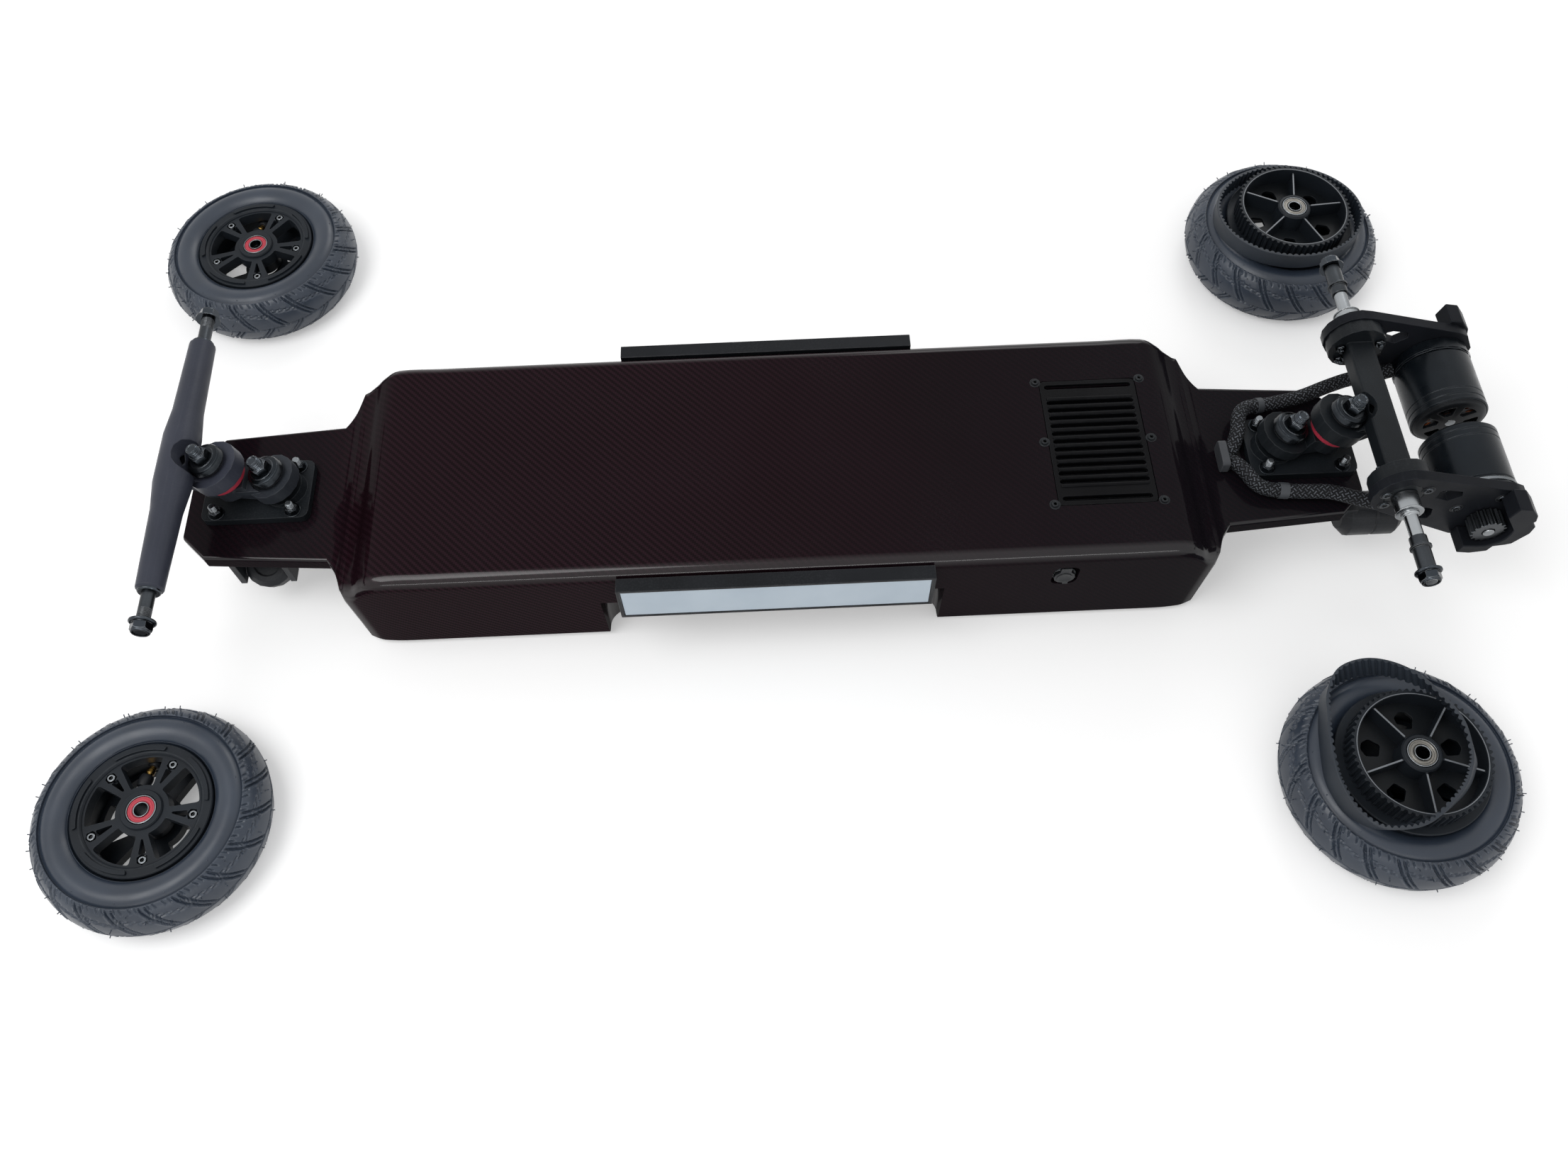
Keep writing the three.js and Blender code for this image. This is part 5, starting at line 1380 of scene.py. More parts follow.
@dataclass
class RearWheel(Wheel):
    """Wheel with a toothed drive pulley on its hub."""

    teeth: int = 60
    tooth: Outline = ((-0.3, 47.9), (-0.21, 49.2), (-0.12, 50.0), (0.12, 50.0), (0.21, 49.2), (0.3, 47.9))
    ring: Point = (52.5, 70.4)
    ring_inside: float = 45.4
    barrel: Outline = ((44.7, 3.4), (50.9, 3.4), (51.7, 4.2), (51.7, 46.0), (50.2, 46.6), (49.0, 51.0),
                       (55.4, 51.0), (56.0, 51.5), (56.0, 52.5), (55.4, 53.0), (44.7, 53.0))
    rim_line: Outline = ((45.5, 69.8), (45.9, 70.5), (46.4, 70.5), (46.6, 70.2), (46.4, 69.6))
    floor: Point = (51.8, 54.4)
    window: Outline = ((-6.5, -4.6), (2.5, -7.0), (7.0, -2.6), (7.0, 2.6), (2.5, 7.0), (-6.5, 4.6))
    window_reach: float = 31.0
    rib: Outline = ((12.0, 54.0), (45.6, 54.0), (45.6, 67.2), (44.0, 67.6), (16.0, 68.6), (12.0, 69.0))
    rib_edge: Outline = ((15.8, 68.5), (44.0, 67.5), (44.0, 67.8), (15.8, 68.8))
    rib_half: Point = (0.8, 0.6)
    boss: Outline = ((11.3, 20.0), (15.4, 20.0), (15.4, 50.0), (14.6, 68.8), (13.4, 70.2), (11.8, 70.4),
                     (11.3, 69.9))
    back: Point = (17.6, 26.0)
    pane: Point = (19.5, 41.0, 16.0, 22.5)
    bearing_lows: Point = (20.0, 63.4)

    def pulley(self) -> None:
        """Build the flange, the toothed ring and a pale ring on its edge as a painted highlight."""
        self.add(Form().turned(self.barrel, 120), "rim_and_flange")
        outline = [polar(radius, (tooth + share) * TURN / self.teeth)
                   for tooth in range(self.teeth) for share, radius in self.tooth]
        inside = Form().prism(circle(self.ring_inside, 120), 50, 75)
        self.add(Form().prism(outline, *self.ring).carved(inside), "pulley_teeth", replaces="hub", edge=0.25)
        # A pale ring on the flange's edge, a painted highlight.
        self.add(Form().turned(self.rim_line, 120), "pulley_rim_line", PAINTED_HIGHLIGHT_PLASTIC)

    def floor_and_ribs(self) -> None:
        """Build the pulley's windowed floor, darker as painted shade, and the ribs on it with pale strips on
        their edges as painted highlights.
        """
        low, high = self.floor
        windows = Form()
        for at in self.arm_angles(0.5):
            place = spun(at) @ Matrix.Translation((self.window_reach, 0, 0))
            windows.prism(rounded(self.window, 1.4, 3), low - 1.8, high + 1.6, place)
        floor = Form().prism(circle(self.ring_inside + 0.2, 120), low, high)
        floor = floor.carved(windows, self.hole(48, 58))
        # The floor is darker than the hub, painted shade in the pulley's hollow.
        self.add(floor, "pulley_floor", PAINTED_SHADE_PLASTIC, edge=0.3)
        ribs, edges = Form(), Form()
        for at in self.arm_angles():
            for form, outline, half in zip((ribs, edges), (self.rib, self.rib_edge), self.rib_half):
                form.rings([[(x, y, z) for x, z in outline] for y in (-half, half)], False, spun(at))
        self.add(ribs, "pulley_ribs", edge=0.3)
        # Pale strips on the ribs' top edges, painted highlights.
        self.add(edges, "pulley_rib_edges", PAINTED_HIGHLIGHT_PLASTIC)

    def middle(self) -> None:
        """Build the boss and the spoked plate below."""
        self.add(Form().turned(self.boss, 72), "pulley_boss")
        low, high = self.back
        inner, outer, *halves = self.pane
        panes = Form()
        for at in self.arm_angles(0.5):
            panes.prism(rounded(sector(inner, outer, at, *halves, 10), 2.2, 2), low - 1.6, high + 2)
        plate = Form().prism(circle(self.back_radius, 120), low, high).carved(panes, self.hole(10, 30))
        self.add(plate, "hub_back_face", edge=0.6)

    def build(self, tyre: Form) -> None:
        """Build the whole wheel round the tyre that all wheels share.

        Args:
            tyre: The tyre's form.
        """
        self.add(tyre, "tyre_with_tread", TYRE_RUBBER, "tyre")
        self.pulley()
        self.floor_and_ribs()
        self.middle()
        self.bearings(self.bearing_lows, SHIELD_STEEL)


@dataclass
class MotorCable:
    """Braided cable from the deck's gland to one motor, in two stretches laid in place."""

    name: str
    places: Outline
    knuckle: int
    cuff_at: Point
    radius: float = 5.8
    cuff_wall: float = 0.7
    plate_height: float = 80.0
    steps: int = 4
    sides: int = 32

    def stretch(self, path: list[Vector], part: str, bend: Bend, replaces: Sequence[str]) -> None:
        """Args:
            path: The stretch's middle line.
            part: The end of the piece's name.
            bend: Its bend, which only lays it in place.
            replaces: CAD nodes that it stands for.
        """
        rings = tube_rings(path, self.radius, self.sides)
        piece = Form().rings(rings).make(f"{self.name}_{part}", CABLE_SLEEVE, bend, replaces)
        lay = piece.data.uv_layers.new(name="lay")
        for polygon in piece.data.polygons:
            corners = [piece.data.vertices[i].co / MM for i in polygon.vertices]
            middle = sum(corners, Vector()) / len(corners)
            near = min(range(len(path)), key=lambda k: (path[k] - middle).length)
            near = min(max(near, 1), len(path) - 2)
            for loop, corner in zip(polygon.loop_indices, corners):
                lay.data[loop].uv = self.laid(path, rings, near, corner, middle)

    def laid(self, path: list[Vector], rings: list[list[Vector]], near: int, corner: Vector,
             middle: Vector) -> tuple[float, float]:
        """Measure how far along the stretch and round its girth a corner of a face lies.

        Args:
            path: The stretch's middle line.
            rings: The rings round it.
            near: The place on the line that is nearest to the face.
            corner: The corner.
            middle: The face's middle.

        Returns:
            Both lengths in metres.
        """
        ahead = (path[near + 1] - path[near - 1]).normalized()
        travelled = sum((b - a).length for a, b in zip(path[:near], path[1:near + 1]))
        first = (rings[near][0] - path[near]).normalized()
        side = ahead.cross(first)
        angle, home = (math.atan2(out.dot(side), out.dot(first))
                       for out in (corner - path[near], middle - path[near]))
        angle += TURN * round((home - angle) / TURN)
        return (travelled + (corner - path[near]).dot(ahead)) * MM, angle * self.radius * MM

    def build(self) -> None:
        """Build both stretches and the cuff."""
        whole = smooth_path([(x, y, self.plate_height + z) for x, y, z in self.places], self.steps)
        middle = self.knuckle * self.steps
        fore = Bend("deck", "rear_link", whole[4] * MM, whole[middle - 4] * MM)
        aft = Bend("rear_link", "rear_hanger", whole[middle + 2] * MM, whole[-6] * MM)
        self.stretch(whole[:middle + 1], "sleeve_fore", fore, ["motor_" + self.name])
        self.stretch(whole[middle:], "sleeve_aft", aft, [])
        cuff = [p for p in whole if self.cuff_at[0] < p.x < self.cuff_at[1]]
        cuff_rings = tube_rings(cuff, self.radius + self.cuff_wall, self.sides)
        Form().rings(cuff_rings).make(self.name + "_cuff", CUFF, fore)


@dataclass
class Truck:
    """Double-kingpin truck: pins, cups, nuts, bushings, plate bolts and the painted castings."""

    end: End
    middle: float
    paint: Finish
    beam_paint: Finish
    axle_reach: float
    plate_low: float = 80.0
    pin_foot: Point = (-15.7, 0.0, 26.4)
    lean: float = math.radians(16)
    outer_pin: float = 31.9
    axle: Point = (51.8, 41.38)
    pin_radius: float = 5.0
    pin_hole: float = 5.15
    pin_spans: Outline = ((-16.3, 9.0), (7.4, 38.0))
    cup: Outline = ((5.2, 0.0), (9.6, 0.0), (9.9, 0.5), (11.2, 0.6), (12.9, 1.3), (13.7, 2.6), (13.8, 4.9),
                    (14.3, 6.0), (14.3, 6.9), (12.7, 6.9), (12.4, 3.2), (11.2, 1.9), (5.2, 1.7))
    inner_bushings: Sequence[Outline] = (
        ((5.2, -16.4), (11.4, -16.4), (12.6, -15.4), (13.6, -11.2), (12.9, -10.4), (5.2, -10.4)),
        ((5.2, 0.4), (11.6, 0.4), (12.1, 1.0), (12.1, 7.6), (11.6, 8.5), (5.2, 8.5)))
    outer_bushings: Sequence[Outline] = (
        ((5.2, 9.0), (15.4, 9.0), (16.6, 10.2), (16.9, 12.6), (16.5, 15.4), (15.4, 16.6), (5.2, 16.6)),
        ((5.2, 29.4), (11.6, 29.4), (12.1, 30.0), (12.1, 36.8), (11.6, 37.6), (5.2, 37.6)))
    bolts_at: Point = (30.0, 20.5)
    bolt_face: float = 7.3

    def base(self) -> Matrix:
        """Return the place of the baseplate's underside, with X towards the board's tip."""
        turn = spun(math.pi if self.end is End.FRONT else 0.0)
        return Matrix.Translation((self.middle, 0, self.plate_low)) @ turn

    def pins(self) -> Matrix:
        """Return the place of the inner kingpin, with Z along the pin."""
        return self.base() @ Matrix.Translation(self.pin_foot) @ Matrix.Rotation(self.lean, 4, "Y")

    def pin(self, span: Point, at: Matrix, part: str, body: str) -> None:
        """Build a kingpin with its upper cup and its nut.

        Args:
            span: Height of its hidden end and of its upper cup's flat underside.
            at: Place of the pin.
            part: The pin's name.
            body: The body that it moves with.
        """
        low, cup_low = span
        nut_low, nut_high, tip = cup_low + 1.6, cup_low + 7.4, cup_low + 14.2
        shank = [(0.0, low), (self.pin_radius, low)]
        shank += thread_profile(self.pin_radius, nut_high - 2.0, tip, 1.75, 0.85)
        shank += [(3.4, tip), (3.0, tip - 0.6), (0.0, tip - 0.6)]
        Form().turned(shank, 48).make(part + "_stud", DARK_CHROME, body, [part], at)
        nut = nut_form(7.6, self.pin_hole, nut_low, nut_high)
        nut.turned(collar(self.pin_hole, 6.3, nut_high - 0.1, nut_high + 1.1, (0.5, 0.4)), 48)
        nut.make(part + "_nut", DARK_CHROME, body, (), at)
        cup = Form().turned([(r, nut_low - depth) for r, depth in self.cup], 72)
        cup.make(part + "_cup", CUP_STEEL, body, (), at)

    def bushings(self, sections: Sequence[Outline], lower: Finish, at: Matrix, part: str, body: str) -> None:
        """Build the two soft bushings of one pin.

        Args:
            sections: The lower and the upper one.
            lower: What the lower one is made of.
            at: Place of the pin.
            part: The name of the CAD node that both stand for.
            body: The body that they move with.
        """
        Form().turned(sections[0], 72).make(part + "_lower", lower, body, [part], at)
        Form().turned(sections[1], 72).make(part + "_upper", BLACK_URETHANE, body, (), at)

    def bolts(self) -> None:
        """Bolt the baseplate to the deck with four studs and nuts."""
        nuts, studs, washers = Form(), Form(), Form()
        long, short = self.bolts_at
        radius, hole = 3.0, 3.1
        for x in (-long, long):
            for y in (-short, short):
                at = self.base() @ Matrix.Translation((x, y, self.bolt_face)) @ spun(0.3 * x + y)
                nut_form(4.9, hole, 0.9, 4.7, at, nuts)
                nuts.turned(collar(hole, 4.0, 4.6, 5.7, (0.3, 0.4)), 32, at)
                washers.turned(collar(hole, 6.4, 0.0, 0.9, (0.3, 0.2)), 40, at)
                thread = thread_profile(radius, 4.0, 11.2, 1.0, 0.4)
                studs.turned([(0.0, 0.0), (radius, 0.0)] + thread + [(0.0, 11.2)], 32, at)
        nuts.make(f"{self.end.word}_plate_nuts", CUP_STEEL, "deck")
        washers.make(f"{self.end.word}_plate_washers", CUP_STEEL, "deck")
        studs.make(f"{self.end.word}_plate_studs", GREY_STEEL, "deck")

    def axle_nuts(self) -> None:
        """Replace the two axle nuts by flanged lock nuts."""
        hole, centre = 5.2, self.axle_reach
        for side in Side:
            facing = Matrix.Rotation(-side.value * self.end.value * TURN / 4, 4, "X")
            at = self.pins() @ Matrix.Translation((self.axle[0], 0, self.axle[1])) @ facing
            nut = nut_form(8.0, hole, centre - 2.4, centre + 4.0)
            nut.turned(collar(hole, 9.6, centre - 4.0, centre - 2.2, (1.0, 0.8)), 64)
            nut.turned(collar(hole, 6.8, centre + 3.8, centre + 5.4, (0.6, 0.6)), 48)
            name = f"{self.end.word}_axle_nut_{side.word}"
            nut.make(name + "_locking", DARK_CHROME, f"{self.end.word}_hanger", [name], at)

    def build(self) -> None:
        """Build the truck's finished pieces."""
        word = self.end.word
        link = word + "_link"
        inner = self.pins()
        outer = inner @ Matrix.Translation((self.outer_pin, 0, 0))
        polish(word + "_baseplate", TRUCK_PAINT, 0.9)
        polish(link, self.paint, 1.0)
        polish(word + "_hanger", self.beam_paint, 1.0)
        self.pin(self.pin_spans[0], inner, word + "_inner_kingpin", "deck")
        self.pin(self.pin_spans[1], outer, word + "_outer_kingpin", link)
        self.bushings(self.inner_bushings, BLACK_URETHANE, inner, word + "_inner_bushings", "deck")
        self.bushings(self.outer_bushings, RED_URETHANE, outer, word + "_outer_bushings", link)
        self.bolts()
        self.axle_nuts()


@dataclass
class Drive:
    """Motor, plate, guard and pinion of one side, drawn by distances from the board's middle line."""

    side: Side
    motor: Point = (541.5, 98.0)
    axle: Point = (467.5, 131.9)
    can: Outline = ((27.0, 12.0), (28.0, 11.0), (29.0, 12.0), (29.0, 15.4), (28.5, 15.9), (28.5, 16.7),
                    (29.0, 17.2), (29.0, 21.4), (28.6, 21.8), (28.6, 22.6), (29.0, 23.0), (29.0, 58.8),
                    (28.2, 60.0), (27.0, 60.0))
    bell: Outline = ((4.0, 8.0), (22.6, 8.0), (26.0, 9.2), (27.6, 11.2), (27.6, 13.0), (24.0, 13.0),
                     (21.0, 10.8), (4.0, 10.8))
    pane: Point = (10.0, 20.6, 13.0, 21.0)
    shaft: Outline = ((0.0, 7.8), (3.8, 7.8), (3.8, 12.0), (7.2, 12.0), (7.2, 10.6), (8.6, 10.6),
                      (8.6, 14.0), (0.0, 14.0))
    band: Outline = ((29.3, 61.6), (29.6, 61.9), (29.6, 64.0), (29.3, 64.3))
    coil: Outline = ((12.0, -1.6, 16.5), (12.0, 1.6, 16.5), (16.0, 2.6, 15.4), (20.4, 2.8, 16.5),
                     (20.4, -2.8, 16.5), (16.0, -2.6, 15.4))
    coils: int = 12
    clamp_screws: Outline = ((-13.8, 2.1), (15.4, 6.5), (-10.6, -11.4), (11.6, -12.4))
    motor_screws: Outline = ((47.9, -20.8), (77.4, -9.2))
    screw: SocketScrew = SocketScrew(3.5, 78.6, 80.1)
    clamp_end: Outline = ((0.0, 54.4), (1.7, 54.4), (2.0, 54.8), (2.0, 60.0), (0.0, 60.0))

    def turn(self, form: Form, part: str, finish: Finish, replaces: Sequence[str] = ()) -> None:
        """Make a piece that turns with the motor."""
        word = self.side.word
        form.make(f"motor_{part}", finish, "rotor_" + word, replaces, across(self.motor, self.side))

    def rotor(self) -> None:
        """Build the turning can with its windowed bell and its shaft."""
        name = "rotor_" + self.side.word
        self.turn(Form().turned(self.can, 128), name + "_can", MOTOR_PAINT, ["motor_" + name])
        panes = Form()
        inner, outer, *halves = self.pane
        for at in angles(6):
            panes.prism(rounded(sector(inner, outer, at, *halves, 8), 1.6, 2), 6, 14)
        self.turn(Form().turned(self.bell, 96).carved(panes), name + "_bell", ANODISED)
        self.turn(Form().turned(self.shaft, 48), name + "_shaft", BRIGHT_STEEL)

    def stator(self) -> None:
        """Lay the machined band, and wind the copper heads of the coils behind the bell's windows. The band is
        bright steel on the near motor, a painted highlight, and dark paint on the far one, painted shade.
        """
        at = across(self.motor, self.side)
        # Painted highlight and shade: the near band is bright steel, the far band dark paint.
        finish = GREY_STEEL if self.side is Side.NEAR else MOTOR_PAINT
        Form().turned(self.band, 128).make("motor_band_" + self.side.word, finish, "rear_hanger", (), at)
        coils = Form()
        loop = smooth_path(self.coil, 4, True) + [Vector(self.coil[0])]
        for angle in angles(self.coils):
            coils.rings(tube_rings(loop, 1.3, 8), False, spun(angle))
        coils.make("motor_coils_" + self.side.word, COPPER, "rear_hanger", (), at)

    def screws(self) -> None:
        """Fit the plate's clamp screws and the motor's screws."""
        heads, ends, rims = Form(), Form(), Form()
        for x, z in (*self.clamp_screws, *self.motor_screws):
            at = across((self.axle[0] + x, self.axle[1] + z), self.side)
            self.screw.add_to(heads, at)
            rims.turned(collar(3.7, 4.9, 78.9, 79.4, (0.3, 0.15)), 36, at)
        for x, z in self.clamp_screws:
            at = across((self.axle[0] + x, self.axle[1] + z), self.side)
            nut_form(3.9, 2.0, 57.2, 60.1, at, ends)
            ends.turned(self.clamp_end, 24, at)
        heads.make("plate_screws_" + self.side.word, DARK_CHROME, "rear_hanger")
        rims.make("plate_screw_rims_" + self.side.word, ANODISED, "rear_hanger")
        ends.make("clamp_nuts_" + self.side.word, DARK_CHROME, "rear_hanger")

    def build(self) -> None:
        """Build the drive's finished pieces."""
        word = self.side.word
        polish("motor_plate_" + word, PLATE_PAINT, 0.7)
        polish("pinion_guard_" + word, PLATE_PAINT, 0.8)
        polish("motor_stator_" + word, MOTOR_PAINT, 0.4)
        polish("drive_pinion_" + word, PINION_STEEL, 0.3)
        shaft_end = Form().turned(collar(0.0, 4.3, 93.4, 94.6, (0.4, 0.4)), 40)
        self.turn(shaft_end, "shaft_end_" + word, BRIGHT_STEEL)
        self.rotor()
        self.stator()
        self.screws()


@dataclass
class Axles:
    """The front axle rod and the rear axle with its sleeves, by distances from the middle line."""

    front: Point = (-455.0, 131.9)
    rear: Point = (467.5, 131.9)
    radius: float = 5.0
    front_end: float = 147.0
    rear_end: float = 152.0
    sleeve: Outline = ((0.0, 79.4), (9.5, 79.4), (9.5, 92.6), (10.2, 92.9), (10.2, 93.9), (9.6, 94.2),
                       (6.6, 94.2), (6.4, 96.0), (5.0, 97.0), (5.0, 114.0))
    spacer: Outline = ((5.1, 114.8), (6.2, 114.8), (6.3, 115.2), (6.3, 122.4), (7.7, 122.7), (7.7, 124.1),
                       (6.3, 124.4), (6.3, 142.2), (6.0, 142.6), (5.1, 142.6))

    def threaded(self, low: float, end: float) -> list[Point]:
        """Return the threaded end of a rod, closed on its axis."""
        return [*thread_profile(self.radius, low, end, 1.25, 0.55), (0.0, end)]

    def build(self) -> None:
        """Build both axles."""
        front, rear, spacers, collars = Form(), Form(), Form(), Form()
        for side in Side:
            at = across(self.front, side)
            rod = [(0.0, 100.0), (self.radius, 100.0), (self.radius, 113.0)]
            front.turned(rod + self.threaded(128.0, self.front_end), 48, at)
            collars.turned(collar(5.1, 8.3, 112.8, 115.0, (0.7, 0.8)), 48, at)
            at = across(self.rear, side)
            rear.turned([*self.sleeve, *self.threaded(142.8, self.rear_end)], 64, at)
            spacers.turned(self.spacer, 56, at)
        front.make("front_axle_rod", AXLE_STEEL, "front_hanger", ["front_axle"])
        collars.make("front_axle_collars", DARK_CHROME, "front_hanger")
        rear.make("rear_axle_sleeves", BRIGHT_STEEL, "rear_hanger", ["rear_axle"])
        spacers.make("rear_axle_spacers", AXLE_STEEL, "rear_hanger")


@dataclass
class Hull:
    """Moulded carbon hull: a smooth loft from plate to plate, hollowed from below."""

    high: float = 107.0
    half: float = 104.0
    foot_half: float = 99.0
    lift: float = 0.8
    plate: Point = (66.0, 80.0)
    corner_steps: int = 8
    body_radii: Point = (8.0, 11.0)
    plate_radii: Point = (3.0, 3.0)
    flare: float = 23.0
    flare_sections: Outline = ((0.25, 0.72, 0.98), (0.6, 0.45, 0.95), (0.97, 0.27, 0.86))
    neck_reach: float = 40.0
    neck_sections: Outline = ((0.12, 0.24, 0.72), (0.45, 0.1, 0.36), (0.75, 0.03, 0.14), (1, 0, 0))
    reach: float = 466.0
    chamfer: float = 19.0
    nose: Point = (310.0, 64.0, 57.0)
    tail: Point = (316.0, 67.0, 60.0)
    hollow: Point = (-299.0, 305.0)
    hollow_half: Point = (90.0, 71.0)
    narrow_at: Outline = ((-150.0, -141.0), (142.0, 133.0))
    recess: Outline = ((-129, 76), (121, 76), (130, 85), (130, 140), (-138, 140), (-138, 85))
    vent_seat: Point = (217.7, 295.3, 59.3)
    vent_hole: Point = (222.3, 290.7, 54.7)
    port: Point = (222.0, 71.5)
    port_recess: Point = (212.0, 232.0, 61.3, 89.0)

    def ring(self, x: float, top: float, foot: float, low: float, high: float, foot_radius: float,
             top_radius: float) -> list[Point]:
        """Draw one section of the hull, with rounded corners.

        Args:
            x: Its place.
            top: Half its width at the top.
            foot: Half its width at the foot.
            low: Height of the foot.
            high: Height of the top.
            foot_radius: Radius of the lower corners.
            top_radius: Radius of the upper corners.

        Returns:
            Its points.
        """
        corners = ((foot - foot_radius, low + foot_radius, foot_radius, -1),
                   (top - top_radius, high - top_radius, top_radius, 0))
        side = [(y + r * math.cos(a), z + r * math.sin(a)) for y, z, r, start in corners
                for a in (TURN / 4 * (start + i / self.corner_steps) for i in range(self.corner_steps + 1))]
        return [(x, y, z) for y, z in side] + [(x, -y, z) for y, z in side[::-1]]

    def end_rings(self, end: End, full: float, neck: float, tip: float) -> list[list[Point]]:
        """Draw the sections from the straight middle out to one plate's tip.

        Args:
            end: The end of the board.
            full: Distance at which the full section ends.
            neck: Half the width where the plate starts.
            tip: Half the width at the tip, before the chamfer.

        Returns:
            The sections.
        """
        low, high = self.plate

        def sizes(x: float, height: float, width: float, sunk: float, radii: Point) -> Vector:
            """Work out what ring takes for one section.

            Args:
                x: Distance from the board's middle.
                height: Share of the height above the plate.
                width: Share of the width beyond the neck.
                sunk: Height of the foot, as a share of the plate's underside.
                radii: Radius of the lower and the upper corners.

            Returns:
                The sizes as one list of numbers.
            """
            half = neck + (self.half - neck) * width
            foot = half - (self.half - self.foot_half) * (sunk < 1)
            top = high + (self.high - high) * height
            return Vector((end.value * x, half, foot, sunk * low, top, *radii))

        lift = self.lift / low
        body = [sizes(x, 1, 1, lift, self.body_radii) for x in (full - 40, full - 8)]
        body += [sizes(full + self.flare * a, h, w, lift, self.body_radii)
                 for a, h, w in self.flare_sections]
        foot, run = full + self.flare, self.neck_reach - self.flare
        neck_part = [sizes(foot + run * a, h, w, 1, self.plate_radii) for a, h, w in self.neck_sections]
        rings = [self.ring(*v) for part in (body, neck_part) for v in smooth_path(part, 4)]
        for x, half in ((self.reach - self.chamfer, tip), (self.reach, tip - self.chamfer)):
            rings.append(self.ring(end.value * x, half, half, low, high, *self.plate_radii))
        return rings

    def inside(self) -> Form:
        """Draw the hollow under the hull, narrower between the hand recesses.

        Returns:
            Its cutter.
        """
        front, rear = self.hollow
        wide, narrow = self.hollow_half
        (front_wide, front_narrow), (rear_wide, rear_narrow) = self.narrow_at
        near = [(front, -wide), (front_wide, -wide), (front_narrow, -narrow), (rear_narrow, -narrow),
                (rear_wide, -wide), (rear, -wide)]
        return Form().prism(rounded(near + [(x, -y) for x, y in near[::-1]], 8.0, 3), -5, 97)

    def openings(self) -> list[Form]:
        """Draw the cutters of the hand recesses, the vent's seat and hole, and the charge port.

        Returns:
            The cutters.
        """
        tools = []
        for side in Side:
            outline = [(x, side.value * y) for x, y in rounded(self.recess, 6.0, 4)]
            tools.append(Form().prism(outline, -5, 62))
        seat, hole = ([(low, -half), (high, -half), (high, half), (low, half)]
                      for low, high, half in (self.vent_seat, self.vent_hole))
        left, right, low, high = self.port_recess
        face = across((0, 0), Side.NEAR)
        port = rounded([(left, low), (right, low), (right, high), (left, high)], 8.0, 6)
        return tools + [Form().prism(rounded(seat, 4.0), 104.0, 110), Form().prism(hole, 90, 106),
                        Form().prism(port, 97.74, 120, face),
                        Form().prism(circle(7.0, 40, self.port), 85, 99, face)]

    def build(self) -> None:
        """Loft the hull and cut its openings."""
        rings = self.end_rings(End.FRONT, *self.nose)[::-1] + self.end_rings(End.REAR, *self.tail)
        shell = Form().rings(rings).carved(self.inside(), *self.openings())
        keep_flats(shell.make("deck_shell_lofted", HULL_CARBON, "deck", ["deck_shell"], smooth=38.0))


@dataclass
class DeckTrim:
    """Vent cover, light bars, charge port and the pieces under the deck's ends."""

    plate_high: float = 107.0
    screw_rows: Point = (-58.0, 0.0, 58.0)
    screw_columns: Point = (215.0, 299.0)
    washer: Outline = ((0.0, -0.4), (4.4, -0.4), (4.4, 0.2), (4.0, 0.6), (2.9, 0.7), (0.0, 0.7))
    screw: SocketScrew = SocketScrew(2.7, 0.5, 1.9)
    louvre: Outline = ((1.5, 0.0), (1.35, 0.65), (0.8, 1.15), (0.0, 1.3), (-0.8, 1.15), (-1.35, 0.65),
                       (-1.5, 0.0))
    louvre_ends: Outline = ((221.9, 0.2), (222.6, 0.8), (224.0, 1.0), (289.0, 1.0), (290.4, 0.8),
                            (291.1, 0.2))
    louvres: int = 12
    first_louvre: float = -41.25
    louvre_pitch: float = 7.5
    port: Point = (222.0, 71.5)
    cap_rib: Outline = ((0.0, 102.2), (5.6, 102.2), (5.9, 102.6), (5.6, 103.0), (4.9, 102.7), (0.0, 102.7))

    def vent(self) -> None:
        """Finish the vent cover and fit its louvres and its six washer-head screws."""
        polish("vent_cover", VENT_PAINT, 0.35)
        heads, washers, ribs = Form(), Form(), Form()
        for x in self.screw_columns:
            for y in self.screw_rows:
                at = Matrix.Translation((x, y, self.plate_high))
                washers.turned(self.washer, 40, at)
                self.screw.add_to(heads, at)
        for i in range(self.louvres):
            at = Matrix.Translation((0, self.first_louvre + self.louvre_pitch * i, self.plate_high - 0.1))
            ribs.rings([[(x, y * size, z * size) for y, z in self.louvre] for x, size in self.louvre_ends],
                       False, at)
        ribs.make("vent_louvres", VENT_PAINT, "deck")
        washers.make("vent_washers", ANODISED, "deck")
        heads.make("vent_screws", ANODISED, "deck")

    def charge_port(self) -> None:
        """Ring the charge socket and shape its rubber cap."""
        polish("charge_socket", BRIGHT_STEEL, 0.3)
        polish("charge_cap", BLACK_PLASTIC, 0.6)
        at = across(self.port, Side.NEAR)
        rim = Form().turned(collar(8.5, 9.7, 98.2, 99.5, (0.5, 0.6)), 64)
        rim.make("port_rim", CUP_STEEL, "deck", (), at)
        Form().turned(self.cap_rib, 48).make("port_cap_rib", BLACK_PLASTIC, "charge_cap", (), at)

    def build(self) -> None:
        """Build the deck's finished pieces."""
        self.vent()
        for side in Side:
            polish("light_frame_" + side.word, BAR_PAINT, 0.5)
            polish("light_diffuser_" + side.word, MILKY_PLASTIC, 0.25)
        self.charge_port()
        polish("cable_gland", GLAND_PLASTIC, 0.9)
        polish("nose_lamp", BLACK_PLASTIC, 0.6)
        polish("tail_lamp", BLACK_PLASTIC, 0.8)
        polish("deck_lid", GRIP, 0.5)
        Hull().build()
        polish("battery_pack", SHRINK_WRAP, 1.2)
        polish("motor_controller", ANODISED, 0.8)


